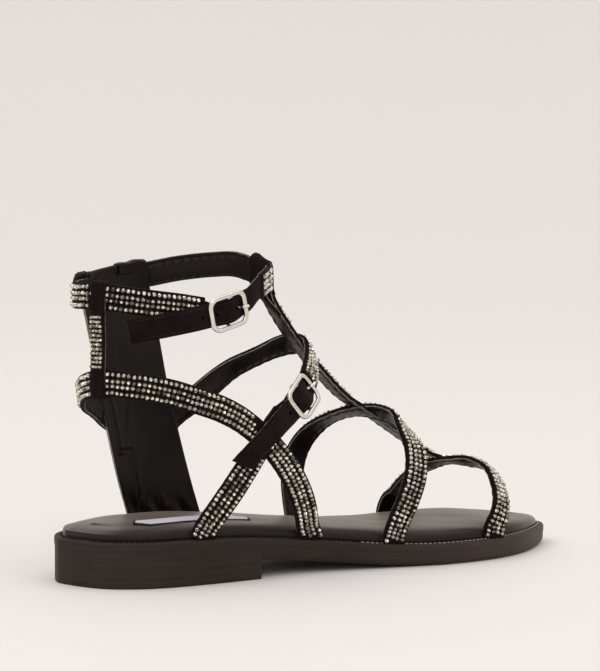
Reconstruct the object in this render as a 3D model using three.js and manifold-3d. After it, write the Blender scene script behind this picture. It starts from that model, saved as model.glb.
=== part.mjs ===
// Gladiator sandal, right foot: moulded sole with a low heel, padded footbed, and an upper
// of narrow straps and a medial ankle panel. Two silver buckles close it on the lateral side.
//
// Millimetres, +Z up, +X towards the toe, -Y lateral, +Y medial. Lengths along the shoe are
// measured from the back of the heel. At the end the whole group is shifted so that its
// origin is the centre of the box it stands in, on the floor.

import * as THREE from 'three';
import { mergeVertices } from 'three/addons/utils/BufferGeometryUtils.js';
import Module from 'manifold-3d';

const wasm = await Module();
wasm.setup();

// ---------------------------------------------------------------- driving dimensions

const SOLE_LENGTH = 250;        // outsole, heel back to toe tip (size 38)
const HEEL_TOP = 18.9;          // height of the sole's top face over the heel
const BALL_TOP = 9.4;           // height of the sole's top face under the ball
const SLAB = 9.4;               // thickness of the moulded sole slab
const DROP_START = 45;          // where the top face starts to fall towards the ball
const DROP_END = 170;           // where it has reached the height of the ball
const SPRING_START = 214;       // where the toe begins to lift
const TOE_SPRING = 1.2;         // lift of the toe tip
const HEEL_BREAST = 79;         // front face of the heel
const HEEL_INSET = 0.7;         // the heel stands this far inside the slab's edge

const FOOTBED_INSET = 4.0;      // footbed edge inside the sole's edge
const FOOTBED_EDGE = 3.4;       // height of the footbed's upright edge
const FOOTBED_CROWN = 6.0;      // thickness of the padded footbed at its middle
const GAP = 0.3;                // gap between neighbouring pieces

const STRAP_WIDTH = 11;
const STRAP_THICK = 2.2;
const LOOP_THICK = 1.6;         // folded loop at the top of the T strap
const BILLET_WIDTH = 11;
const BILLET_THICK = 1.6;       // plain strap ends that pass through the buckles
const STRIP_WIDTH = 7.4;        // upright strip behind the heel, between its two keepers
const STRIP_THICK = 2.0;
const CARRIER_THICK = 1.2;      // skived strap end that runs under a buckle's centre bar
const TUCK_INSET = 2.55;        // middle of a strap's wall inside the sole's edge
const TUCK_LENGTH = 9;          // strap end that lies in a recess under the footbed

const BUCKLE_LENGTH = 20;       // along the strap
const BUCKLE_HEIGHT = 15.2;     // across the strap
const BUCKLE_BAR = 1.8;         // width of side, top and bottom bars
const BUCKLE_FRONT_BAR = 2.5;   // wider bar under the prong's tip
const BUCKLE_THICK = 1.6;
const BUCKLE_LIFT = 1.95;       // frame's middle above the billet's middle
const BILLET_HUMP = 1.9;        // rise of the billet over the centre bar
const CENTRE_BAR_DROP = 1.3;    // centre bar's middle below the billet's own line
const CENTRE_BAR_RADIUS = 0.7;
const PRONG_RADIUS = 0.6;

// Sole outline seen from above: distance along the sole, then its two edges.
const SOLE_OUTLINE = [
  { x: 0.0, lateral: 3.0, medial: 5.0 },
  { x: 3.0, lateral: -7.5, medial: 14.0 },
  { x: 10.0, lateral: -19.8, medial: 22.5 },
  { x: 24.0, lateral: -28.4, medial: 28.0 },
  { x: 44.0, lateral: -31.0, medial: 30.0 },
  { x: 72.0, lateral: -30.0, medial: 28.6 },
  { x: 98.0, lateral: -28.0, medial: 26.4 },
  { x: 122.0, lateral: -30.0, medial: 28.0 },
  { x: 147.0, lateral: -34.0, medial: 32.6 },
  { x: 172.0, lateral: -36.9, medial: 37.4 },
  { x: 195.0, lateral: -34.8, medial: 38.6 },
  { x: 215.0, lateral: -27.8, medial: 35.8 },
  { x: 233.0, lateral: -15.0, medial: 29.0 },
  { x: 245.5, lateral: -2.0, medial: 18.5 },
];
const TOE_TIP = { x: 250, y: 8.5 };

// The core line that the straps wrap round: up the middle of the ankle, then down the foot.
const CORE = [
  { x: 50, y: -1, z: 140 },
  { x: 52, y: -1, z: 76 },
  { x: 76, y: 0, z: 50 },
  { x: 150, y: 1, z: 28 },
  { x: 222, y: 4, z: 18 },
];

// Strap middle lines. out is the lift of a strap that lies on top of another one.
const ANKLE_FRONT = [
  { x: 46.0, y: 28.6, z: 126.4, out: 0 },
  { x: 55.0, y: 28.6, z: 127.8, out: 0 },
  { x: 68.0, y: 24.9, z: 129.6, out: 0 },
  { x: 82.0, y: 18.8, z: 131.0, out: 0 },
  { x: 88.6, y: 12.6, z: 130.8, out: 0 },
  { x: 93.2, y: 6.6, z: 129.6, out: 0 },
  { x: 95.3, y: 0.4, z: 127.4, out: 0 },
  { x: 94.9, y: -5.4, z: 126.0, out: 0 },
  { x: 92.0, y: -10.8, z: 125.5, out: 0 },
  { x: 88.0, y: -15.4, z: 124.8, out: 0 },
  { x: 81.0, y: -21.0, z: 122.2, out: 0.2 },
  { x: 73.5, y: -25.0, z: 118.0, out: 0.6 },
  { x: 63.2, y: -27.8, z: 114.2, out: 0.9 },
  { x: 52.0, y: -29.1, z: 111.9, out: 1.6 },
  { x: 34.9, y: -28.2, z: 108.8, out: 2.4 },
  { x: 18.4, y: -24.2, z: 105.8, out: 2.9 },
];
const ANKLE_BACK = [
  { x: 24.5, y: 21.6, z: 121.0 },
  { x: 18.3, y: 16.2, z: 121.0 },
  { x: 10.6, y: 8.2, z: 120.6 },
  { x: 6.8, y: -0.6, z: 120.3 },
  { x: 7.4, y: -7.4, z: 120.4 },
  { x: 10.8, y: -13.8, z: 120.4 },
  { x: 17.8, y: -19.6, z: 119.3 },
  { x: 28.0, y: -24.8, z: 118.0 },
  { x: 40.8, y: -27.8, z: 116.6 },
  { x: 51.0, y: -28.5, z: 115.0 },
];
const BACK_STRIP = [
  { x: 11.3, y: -14.3, z: 126.0 },
  { x: 11.4, y: -14.3, z: 120.0 },
  { x: 11.6, y: -14.0, z: 110.0 },
  { x: 11.8, y: -14.0, z: 98.0 },
  { x: 11.2, y: -14.4, z: 85.2 },
  { x: 11.2, y: -14.4, z: 78.4 },
];
const HEEL_WRAP = [
  { x: 37.5, y: 25.2, z: 63.8, out: 0.6 },
  { x: 31.0, y: 21.8, z: 68.2, out: 0.5 },
  { x: 22.0, y: 15.8, z: 73.6, out: 0 },
  { x: 14.0, y: 9.0, z: 77.2, out: 0 },
  { x: 10.0, y: 1.4, z: 80.4, out: 0 },
  { x: 8.8, y: -6.2, z: 82.8, out: 0 },
  { x: 11.2, y: -14.4, z: 84.6, out: 0 },
  { x: 22.6, y: -23.4, z: 83.6, out: 0 },
  { x: 36.2, y: -28.0, z: 80.8, out: 0 },
  { x: 47.2, y: -30.5, z: 77.2, out: 0 },
  { x: 59.0, y: -32.4, z: 72.4, out: 0 },
  { x: 69.2, y: -33.4, z: 66.4, out: 0 },
  { x: 80.8, y: -33.8, z: 56.6, out: 0 },
  { x: 89.0, y: -33.6, z: 47.4, out: 0 },
  { x: 95.0, y: -32.4, z: 38.2, out: 0 },
  { x: 100.0, y: -29.8, z: 28.4, out: 0 },
];
const RISING_STRAP = [
  { x: 52.6, y: -30.0, z: 25.0 },
  { x: 56.6, y: -31.6, z: 31.4 },
  { x: 63.4, y: -33.0, z: 40.4 },
  { x: 72.4, y: -33.6, z: 51.4 },
  { x: 81.6, y: -31.8, z: 60.8 },
  { x: 90.8, y: -28.2, z: 68.6 },
];
const INSTEP_STRAP = [
  { x: 59.5, y: 29.2, z: 60.5, out: 0 },
  { x: 67.0, y: 29.2, z: 65.6, out: 0 },
  { x: 83.7, y: 28.8, z: 76.2, out: 0 },
  { x: 95.5, y: 26.6, z: 84.2, out: 0 },
  { x: 106.6, y: 19.0, z: 91.6, out: 0.3 },
  { x: 114.0, y: 9.0, z: 96.2, out: 1.2 },
  { x: 116.4, y: 0.0, z: 94.4, out: 1.9 },
  { x: 113.4, y: -9.0, z: 88.0, out: 1.2 },
  { x: 107.6, y: -17.4, z: 81.2, out: 0.8 },
  { x: 100.6, y: -23.8, z: 75.4, out: 0.8 },
  { x: 92.2, y: -28.8, z: 70.4, out: 1.4 },
  { x: 84.0, y: -32.0, z: 65.6, out: 2.3 },
  { x: 75.2, y: -33.6, z: 58.6, out: 2.6 },
  { x: 65.9, y: -34.0, z: 49.8, out: 2.6 },
];
const T_STRAP = [
  { x: 101.6, y: 1.4, z: 116.6 },
  { x: 104.4, y: 1.8, z: 111.2 },
  { x: 108.9, y: 2.0, z: 104.2 },
  { x: 117.5, y: 2.0, z: 92.9 },
  { x: 126.4, y: 2.0, z: 83.2 },
  { x: 138.4, y: 2.0, z: 74.0 },
  { x: 148.4, y: 2.0, z: 67.4 },
  { x: 157.5, y: 2.0, z: 61.2 },
  { x: 171.4, y: 2.0, z: 54.2 },
  { x: 181.6, y: 1.5, z: 46.8 },
  { x: 187.8, y: 1.0, z: 41.4 },
];
// The T strap's top is folded over the ankle strap: inner leaf, fold, outer leaf.
const T_LOOP = [
  { x: 103.4, y: 1.7, z: 110.6 },
  { x: 99.2, y: 1.2, z: 115.0 },
  { x: 95.0, y: 0.4, z: 118.8 },
  { x: 93.0, y: -0.2, z: 122.6 },
  { x: 92.7, y: -0.4, z: 127.5 },
  { x: 92.9, y: -0.3, z: 131.6 },
  { x: 93.8, y: -0.1, z: 133.6 },
  { x: 95.3, y: 0.0, z: 134.4 },
  { x: 96.8, y: 0.1, z: 133.6 },
  { x: 97.7, y: 0.2, z: 131.6 },
  { x: 97.9, y: 0.4, z: 127.0 },
  { x: 98.0, y: 0.6, z: 122.5 },
  { x: 99.2, y: 1.0, z: 118.4 },
  { x: 102.2, y: 1.5, z: 114.4 },
];
const T_LOOP_ACROSS = new THREE.Vector3(-0.2, 0.88, 0.43);
const MIDFOOT_STRAP = [
  { x: 127.4, y: 29.0, z: 25.5 },
  { x: 127.6, y: 30.2, z: 34.0 },
  { x: 129.2, y: 28.8, z: 44.0 },
  { x: 133.2, y: 23.4, z: 54.0 },
  { x: 138.8, y: 15.0, z: 61.8 },
  { x: 145.8, y: 5.0, z: 66.2 },
  { x: 152.6, y: -3.6, z: 66.4 },
  { x: 157.0, y: -11.0, z: 63.8 },
  { x: 157.8, y: -18.8, z: 58.6 },
  { x: 157.4, y: -27.2, z: 50.4 },
  { x: 154.2, y: -32.4, z: 39.8 },
  { x: 150.0, y: -33.4, z: 29.8 },
  { x: 146.2, y: -32.6, z: 21.4 },
];
const TOE_STRAP = [
  { x: 183.2, y: 33.2, z: 20.0 },
  { x: 183.8, y: 28.4, z: 24.2 },
  { x: 183.4, y: 20.0, z: 30.2 },
  { x: 184.2, y: 9.0, z: 35.4 },
  { x: 188.4, y: -1.0, z: 40.4 },
  { x: 194.8, y: -10.0, z: 41.4 },
  { x: 199.4, y: -18.6, z: 38.4 },
  { x: 201.2, y: -26.0, z: 32.4 },
  { x: 200.6, y: -31.0, z: 24.6 },
  { x: 198.2, y: -32.6, z: 18.6 },
];

// Medial panel, from its foot to its top edge: rear and front edge of each row, and how far
// the middle of the row stands out from the straight line between them.
const PANEL_THICK = 2.2;
const PANEL_ROWS = [
  { rear: [44.0, 27.2, 19.4], front: [79.2, 25.4, 17.6], bulge: 1.0 },
  { rear: [42.2, 26.6, 25.0], front: [77.6, 25.8, 23.0], bulge: 1.4 },
  { rear: [37.4, 23.6, 37.0], front: [73.6, 26.0, 36.0], bulge: 2.6 },
  { rear: [31.0, 20.6, 59.0], front: [67.6, 26.6, 59.0], bulge: 3.8 },
  { rear: [26.6, 20.2, 80.0], front: [62.8, 27.0, 80.0], bulge: 3.8 },
  { rear: [22.6, 19.6, 100.0], front: [58.8, 27.2, 100.0], bulge: 3.6 },
  { rear: [18.6, 17.8, 114.4], front: [55.0, 27.0, 116.0], bulge: 3.4 },
  { rear: [15.4, 15.6, 122.4], front: [52.8, 26.6, 126.6], bulge: 3.2 },
  { rear: [13.0, 13.8, 127.6], front: [51.0, 26.4, 134.0], bulge: 3.0 },
];

// ---------------------------------------------------------------- helpers

const vec = (row) => new THREE.Vector3(row.x, row.y, row.z);
const smooth = (t) => {
  const c = THREE.MathUtils.clamp(t, 0, 1);
  return c * c * (3 - 2 * c);
};

function solid(geometry) {
  const bare = geometry.index ? geometry.clone() : geometry;
  bare.deleteAttribute('normal');
  bare.deleteAttribute('uv');
  const merged = mergeVertices(bare, 1e-4);
  const mesh = new wasm.Mesh({
    numProp: 3,
    vertProperties: new Float32Array(merged.attributes.position.array),
    triVerts: new Uint32Array(merged.index.array),
  });
  return new wasm.Manifold(mesh);
}

function geometryOf(manifold) {
  const { vertProperties, triVerts } = manifold.getMesh();
  const geometry = new THREE.BufferGeometry();
  geometry.setAttribute('position', new THREE.BufferAttribute(vertProperties, 3));
  geometry.setIndex(new THREE.BufferAttribute(triVerts, 1));
  geometry.computeVertexNormals();
  return geometry;
}

// A closed skin over a stack of rings that all have the same number of points. Rings run
// counter-clockwise seen from the side that the last ring faces. Each end is closed by strips
// between its ring's first and second half, so the ends may be long and gently curved.
function skin(rings) {
  const count = rings[0].length;
  const points = rings.flat();
  const index = [];
  for (let r = 0; r + 1 < rings.length; r += 1) {
    for (let i = 0; i < count; i += 1) {
      const a = r * count + i;
      const b = r * count + ((i + 1) % count);
      index.push(a, b, b + count, a, b + count, a + count);
    }
  }
  const top = (rings.length - 1) * count;
  for (let i = 0; i < count / 2 - 1; i += 1) {
    const [a, b, c, d] = [i, i + 1, count - 2 - i, count - 1 - i];
    index.push(a, c, b, a, d, c);
    index.push(top + a, top + b, top + c, top + a, top + c, top + d);
  }
  const geometry = new THREE.BufferGeometry().setFromPoints(points);
  geometry.setIndex(index);
  return geometry;
}

// The direction away from the core line at a point, never pointing down.
function outward(point) {
  let best = null;
  for (let i = 0; i + 1 < CORE.length; i += 1) {
    const line = new THREE.Line3(vec(CORE[i]), vec(CORE[i + 1]));
    const near = line.closestPointToPoint(point, true, new THREE.Vector3());
    const away = point.clone().sub(near);
    if (!best || away.length() < best.length()) best = away;
  }
  best.z = Math.max(best.z, 0);
  return best.normalize();
}

// The moving frame of a strap: middle point, forward, outward face and width direction. The
// face looks away from the core, unless the width direction is given.
function strapFrames(rows, { step = 4, hump = null, width = null } = {}) {
  const curve = new THREE.CatmullRomCurve3(rows.map(vec), false, 'centripetal');
  const length = curve.getLength();
  const steps = Math.ceil(length / step);
  const outs = rows.map((row) => row.out ?? 0);
  const frames = [];
  for (let i = 0; i <= steps; i += 1) {
    const u = i / steps;
    const middle = curve.getPointAt(u);
    const forward = curve.getTangentAt(u);
    const face = width ? forward.clone().cross(width) : outward(middle);
    face.addScaledVector(forward, -face.dot(forward)).normalize();
    const across = new THREE.Vector3().crossVectors(face, forward);
    const t = curve.getUtoTmapping(u) * (rows.length - 1);
    const k = Math.min(Math.floor(t), rows.length - 2);
    const lift = THREE.MathUtils.lerp(outs[k], outs[k + 1], t - k);
    middle.addScaledVector(face, lift + (hump ? hump(middle) : 0));
    frames.push({ middle, forward, face, across });
  }
  return frames;
}

function ribbon(frames, width, thick) {
  const corner = (f, a, b) => f.middle.clone()
    .addScaledVector(f.across, a * width / 2)
    .addScaledVector(f.face, b * thick / 2);
  const rings = frames.map((f) => [
    corner(f, -1, -1), corner(f, 1, -1), corner(f, 1, 1), corner(f, -1, 1),
  ]);
  return solid(skin(rings));
}

const strap = (rows, feet) =>
  ribbon(footed(strapFrames(rows), feet), STRAP_WIDTH, STRAP_THICK);

// ---------------------------------------------------------------- sole

function topHeight(x) {
  const fall = smooth((x - DROP_START) / (DROP_END - DROP_START));
  const lift = Math.max(0, (x - SPRING_START) / (SOLE_LENGTH - SPRING_START)) ** 2;
  return HEEL_TOP + (BALL_TOP - HEEL_TOP) * fall + TOE_SPRING * lift;
}

function outlinePoints(count) {
  const lateral = SOLE_OUTLINE.map((row) => new THREE.Vector3(row.x, row.lateral, 0));
  const medial = SOLE_OUTLINE.map((row) => new THREE.Vector3(row.x, row.medial, 0));
  const loop = [...lateral, new THREE.Vector3(TOE_TIP.x, TOE_TIP.y, 0), ...medial.reverse()];
  const curve = new THREE.CatmullRomCurve3(loop, true, 'centripetal');
  return curve.getSpacedPoints(count).slice(0, count);
}

// The outline moved inwards by an inset, each point along its own normal.
function insetOutline(points, inset) {
  return points.map((point, i) => {
    const before = points[(i + points.length - 1) % points.length];
    const after = points[(i + 1) % points.length];
    const along = after.clone().sub(before).normalize();
    return new THREE.Vector3(point.x - along.y * inset, point.y + along.x * inset, 0);
  });
}

// The sole's edge at a distance along it, on the lateral (-1) or medial (+1) side.
function edgeAt(x, side) {
  const points = outlinePoints(400).filter((p) => Math.sign(p.y) === side);
  return points.reduce((a, b) => (Math.abs(b.x - x) < Math.abs(a.x - x) ? b : a)).y;
}

// Edge profile of the slab, from the middle of its underside to the middle of its top.
const SLAB_PROFILE = [
  { inset: 12, z: 0 },
  { inset: 2.6, z: 0 },
  { inset: 0.9, z: 0.7 },
  { inset: 0.25, z: 2.4 },
  { inset: 0.25, z: 6.6 },
  { inset: 0.75, z: 7.0 },
  { inset: 0, z: 7.5 },
  { inset: 0, z: 8.9 },
  { inset: 0.6, z: SLAB },
  { inset: 12, z: SLAB },
];

function makeOutsole() {
  const edge = outlinePoints(88);
  const rings = SLAB_PROFILE.map(({ inset, z }) => insetOutline(edge, inset)
    .map((p) => new THREE.Vector3(p.x, p.y, topHeight(p.x) - SLAB + z)));
  const slab = solid(skin(rings));
  const heelEdge = insetOutline(outlinePoints(88), HEEL_INSET).filter((p) => p.x < HEEL_BREAST);
  const start = heelEdge.findIndex((p, i) => i > 0 && p.distanceTo(heelEdge[i - 1]) > 20);
  const ordered = start > 0 ? [...heelEdge.slice(start), ...heelEdge.slice(0, start)] : heelEdge;
  const first = ordered[0];
  const last = ordered[ordered.length - 1];
  const shape = new THREE.Shape([
    new THREE.Vector2(HEEL_BREAST, first.y),
    ...ordered.map((p) => new THREE.Vector2(p.x, p.y)),
    new THREE.Vector2(HEEL_BREAST, last.y),
  ]);
  const block = new THREE.ExtrudeGeometry(shape, { depth: HEEL_TOP - 6, bevelEnabled: false });
  return slab.add(solid(block).subtract(aboveSlabFoot()));
}

// Everything above the middle of the slab, so that the heel ends inside it.
function aboveSlabFoot() {
  const middle = SLAB / 2;
  const shape = new THREE.Shape();
  shape.moveTo(-20, 60);
  for (let x = -20; x <= 120; x += 5) shape.lineTo(x, topHeight(x) - middle);
  shape.lineTo(120, 60);
  const wedge = new THREE.ExtrudeGeometry(shape, { depth: 120, bevelEnabled: false });
  wedge.rotateX(Math.PI / 2);
  wedge.translate(0, 60, 0);
  return solid(wedge);
}

const FOOTBED_PROFILE = [
  { inset: 12, z: 0 },
  { inset: FOOTBED_INSET + 0.8, z: 0 },
  { inset: FOOTBED_INSET, z: 1.0 },
  { inset: FOOTBED_INSET, z: FOOTBED_EDGE },
  { inset: FOOTBED_INSET + 1.0, z: FOOTBED_EDGE + 1.2 },
  { inset: FOOTBED_INSET + 3.2, z: FOOTBED_CROWN - 0.4 },
  { inset: 15, z: FOOTBED_CROWN },
];

function makeFootbed(recesses) {
  const edge = outlinePoints(80);
  const rings = FOOTBED_PROFILE.map(({ inset, z }) => insetOutline(edge, inset)
    .map((p) => new THREE.Vector3(p.x, p.y, topHeight(p.x) + GAP + z)));
  return solid(skin(rings)).subtract(recesses);
}

// ---------------------------------------------------------------- strap ends in the sole

// A strap's foot: down the side of the footbed, then inwards under it in a recess.
function tuckFrames({ x, side, slant }, length = TUCK_LENGTH) {
  const wall = edgeAt(x, side) - side * TUCK_INSET;
  const floor = topHeight(x) + GAP + 0.1 + STRAP_THICK / 2;
  const slope = (topHeight(x + 5) - topHeight(x - 5)) / 10;
  const bend = 2.2;
  const stops = [
    { inwards: 0, z: floor + 3.6, angle: 0 },
    { inwards: 0, z: floor + bend, angle: 0 },
    { inwards: bend * 0.3, z: floor + bend * 0.3, angle: 45 },
    { inwards: bend, z: floor, angle: 90 },
    { inwards: bend + length, z: floor, angle: 90 },
  ];
  return stops.map(({ inwards, z, angle }) => {
    const turn = THREE.MathUtils.degToRad(angle);
    return {
      middle: new THREE.Vector3(x + (z - floor) * slant, wall - side * inwards, z),
      across: new THREE.Vector3(-side, 0, -side * slope).normalize(),
      face: new THREE.Vector3(slope * Math.sin(turn), side * Math.cos(turn), -Math.sin(turn)),
    };
  });
}

// Where each strap's foot enters the sole, and how its line leans along the shoe.
const TUCKS = {
  rising: { x: 49.5, side: -1, slant: 0.42 },
  heelWrap: { x: 105.4, side: -1, slant: -0.44 },
  midfootLateral: { x: 143.4, side: -1, slant: 0.34 },
  midfootMedial: { x: 127.0, side: 1, slant: 0.08 },
  toeLateral: { x: 195.8, side: -1, slant: 0.26 },
  toeMedial: { x: 183.2, side: 1, slant: -0.06 },
};

// A strap's frames with its feet added, at its start, its end or both.
function footed(frames, { start = null, end = null }) {
  const flipped = (frame) => ({ ...frame, across: frame.across.clone().negate() });
  return [
    ...(start ? tuckFrames(start).reverse().map(flipped) : []),
    ...frames,
    ...(end ? tuckFrames(end) : []),
  ];
}

const recesses = Object.values(TUCKS).map((tuck) =>
  ribbon(tuckFrames(tuck, TUCK_LENGTH + GAP), STRAP_WIDTH + 2 * GAP, STRAP_THICK + 2 * GAP + 0.2));

// ---------------------------------------------------------------- upper

// The medial panel, or with grow a slightly larger block that clears a space round it.
function makePanel(grow = 0) {
  const columns = 12;
  const rows = PANEL_ROWS.map((row) => {
    const rear = new THREE.Vector3(...row.rear);
    const front = new THREE.Vector3(...row.front);
    const chord = front.clone().sub(rear);
    const aside = new THREE.Vector3(-chord.y, chord.x, 0).normalize();
    const points = [];
    for (let i = 0; i <= columns; i += 1) {
      const t = -grow / 36 + (i / columns) * (1 + 2 * grow / 36);
      const point = rear.clone().addScaledVector(chord, t);
      points.push(point.addScaledVector(aside, row.bulge * 4 * t * (1 - t)));
    }
    return { points, aside };
  });
  const half = PANEL_THICK / 2 + grow;
  const rings = rows.map(({ points, aside }) => [
    ...points.map((p) => p.clone().addScaledVector(aside, half)),
    ...[...points].reverse().map((p) => p.clone().addScaledVector(aside, -half)),
  ]);
  return solid(skin(rings.map((ring) => ring.reverse())));
}

// A buckle's place: its middle on the billet, along the billet, out of the strap, across it.
function buckleFrame(rows, at) {
  const frames = strapFrames(rows, { step: 1 });
  const distance = (f) => f.middle.distanceTo(at);
  const f = frames.reduce((a, b) => (distance(b) < distance(a) ? b : a));
  const along = f.forward.clone().negate();
  const across = new THREE.Vector3().crossVectors(f.face, along);
  return { middle: f.middle, along, face: f.face.clone(), across };
}

const ankleBuckle = buckleFrame(ANKLE_FRONT, new THREE.Vector3(63.2, -28.7, 114.2));
const instepBuckle = buckleFrame(INSTEP_STRAP, new THREE.Vector3(100.9, -24.4, 77.4));

// Rise of the billet over the centre bar of its buckle.
function humpAt(buckle) {
  return (point) => {
    const away = point.clone().sub(buckle.middle).dot(buckle.along);
    const reach = BUCKLE_LENGTH / 2 - 1.5;
    return Math.abs(away) > reach ? 0 : BILLET_HUMP * Math.cos(Math.PI / 2 * away / reach) ** 2;
  };
}

// A point in a buckle's own directions: along the strap to the front, across it, and out.
function inBuckle(buckle, along, across, out) {
  return buckle.middle.clone()
    .addScaledVector(buckle.along, along)
    .addScaledVector(buckle.across, across)
    .addScaledVector(buckle.face, out);
}

// The skived end of the strap that carries a buckle: it comes in under the frame's rear bar,
// passes below the centre bar, turns round it and lies back on itself.
function carrierEnd(buckle, from) {
  const turn = CENTRE_BAR_RADIUS + 0.25 + CARRIER_THICK / 2;
  const centre = -CENTRE_BAR_DROP;
  const stops = [
    { along: -9.5, out: centre - turn, tilt: 0 },
    { along: -4, out: centre - turn, tilt: 0 },
    { along: 0, out: centre - turn, tilt: 0 },
    { along: turn * 0.71, out: centre - turn * 0.71, tilt: 45 },
    { along: turn, out: centre, tilt: 90 },
    { along: turn * 0.71, out: centre + turn * 0.71, tilt: 135 },
    { along: 0, out: centre + turn, tilt: 180 },
    { along: -1.4, out: centre + turn - 0.35, tilt: 200 },
  ];
  const loop = stops.map(({ along, out, tilt }) => {
    const t = THREE.MathUtils.degToRad(tilt);
    return {
      middle: inBuckle(buckle, along, 0, out),
      across: buckle.across,
      face: buckle.face.clone().multiplyScalar(Math.cos(t))
        .addScaledVector(buckle.along, -Math.sin(t)),
    };
  });
  const slot = new THREE.BoxGeometry(6, 2.6, 7);
  slot.translate(1.2, 0, centre);
  const basis = new THREE.Matrix4().makeBasis(buckle.along, buckle.across, buckle.face);
  slot.applyMatrix4(basis.setPosition(buckle.middle));
  const bridge = ribbon([...from.slice(-2), ...loop.slice(0, 2)], STRAP_WIDTH - 0.6, 1.8);
  return ribbon(loop, STRAP_WIDTH - 0.6, CARRIER_THICK).subtract(solid(slot)).add(bridge);
}

// The oval hole of the billet that the prong comes up through.
function prongHole(buckle) {
  const hole = new THREE.CylinderGeometry(PRONG_RADIUS + 0.5, PRONG_RADIUS + 0.5, 9, 12);
  hole.rotateX(Math.PI / 2);
  hole.scale(1.8, 1, 1);
  hole.translate(PRONG_RUN.hole - 0.2, 0, 0);
  return solid(placed(hole, buckle));
}

// The space under a buckle's frame that the billet leaves free.
function underFrame(buckle) {
  const ring = roundedRectangle(BUCKLE_LENGTH / 2 + GAP, BUCKLE_HEIGHT / 2 + GAP, 3.6, THREE.Shape);
  ring.holes.push(buckleWindow(-GAP));
  const space = new THREE.ExtrudeGeometry(ring, { depth: 3, bevelEnabled: false, curveSegments: 5 });
  space.translate(0, 0, BUCKLE_LIFT - BUCKLE_THICK / 2 - 0.2);
  return solid(placed(space, buckle));
}

const PRONG_RUN = { hole: 4.6, tip: 10.4 };

function makeUpper() {
  const ankleBack = strapFrames(ANKLE_BACK);
  const rising = strapFrames(RISING_STRAP);
  const billets = [
    [ANKLE_FRONT, ankleBuckle],
    [INSTEP_STRAP, instepBuckle],
  ].map(([rows, buckle]) => {
    const frames = strapFrames(rows, { step: 3, hump: humpAt(buckle) });
    const isBillet = (f) => f.middle.y < -9;
    const first = frames.findIndex(isBillet);
    const thickPart = ribbon(frames.slice(0, first + 1), STRAP_WIDTH, STRAP_THICK);
    const thinPart = ribbon(frames.slice(first - 1), BILLET_WIDTH, BILLET_THICK);
    return thickPart.add(thinPart).subtract(prongHole(buckle)).subtract(underFrame(buckle));
  });
  const loop = strapFrames(T_LOOP, { step: 1.5, width: T_LOOP_ACROSS });
  const backStrip = BACK_STRIP.map((row) => ({ ...row, out: STRAP_THICK - GAP }));
  const pieces = [
    ribbon(ankleBack, STRAP_WIDTH, STRAP_THICK),
    carrierEnd(ankleBuckle, ankleBack),
    ribbon(footed(rising, { start: TUCKS.rising }), STRAP_WIDTH, STRAP_THICK),
    carrierEnd(instepBuckle, rising),
    ribbon(strapFrames(backStrip), STRIP_WIDTH, STRIP_THICK),
    strap(HEEL_WRAP, { end: TUCKS.heelWrap }),
    strap(T_STRAP, {}),
    ribbon(loop, STRAP_WIDTH, LOOP_THICK),
    strap(MIDFOOT_STRAP, { start: TUCKS.midfootMedial, end: TUCKS.midfootLateral }),
    strap(TOE_STRAP, { start: TUCKS.toeMedial, end: TUCKS.toeLateral }),
  ];
  return [...billets, ...pieces].reduce((all, piece) => all.add(piece), makePanel());
}

// ---------------------------------------------------------------- buckles

function roundedRectangle(halfLength, halfHeight, radius, Kind) {
  const path = new Kind();
  path.moveTo(halfLength, -halfHeight + radius);
  path.lineTo(halfLength, halfHeight - radius);
  path.absarc(halfLength - radius, halfHeight - radius, radius, 0, Math.PI / 2);
  path.absarc(radius - halfLength, halfHeight - radius, radius, Math.PI / 2, Math.PI);
  path.absarc(radius - halfLength, radius - halfHeight, radius, Math.PI, 1.5 * Math.PI);
  path.absarc(halfLength - radius, radius - halfHeight, radius, 1.5 * Math.PI, 2 * Math.PI);
  return path;
}

function placed(geometry, buckle) {
  const basis = new THREE.Matrix4().makeBasis(buckle.along, buckle.across, buckle.face);
  return geometry.applyMatrix4(basis.setPosition(buckle.middle));
}

// The window of a buckle's frame, its front bar wider than the rear one.
function buckleWindow(grow) {
  const window = roundedRectangle(
    (BUCKLE_LENGTH - BUCKLE_BAR - BUCKLE_FRONT_BAR) / 2 + grow,
    BUCKLE_HEIGHT / 2 - BUCKLE_BAR + grow,
    2.2 + grow,
    THREE.Path,
  );
  const shift = (BUCKLE_BAR - BUCKLE_FRONT_BAR) / 2;
  return new THREE.Path(window.getPoints(5).map((p) => p.clone().setX(p.x + shift)));
}

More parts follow.
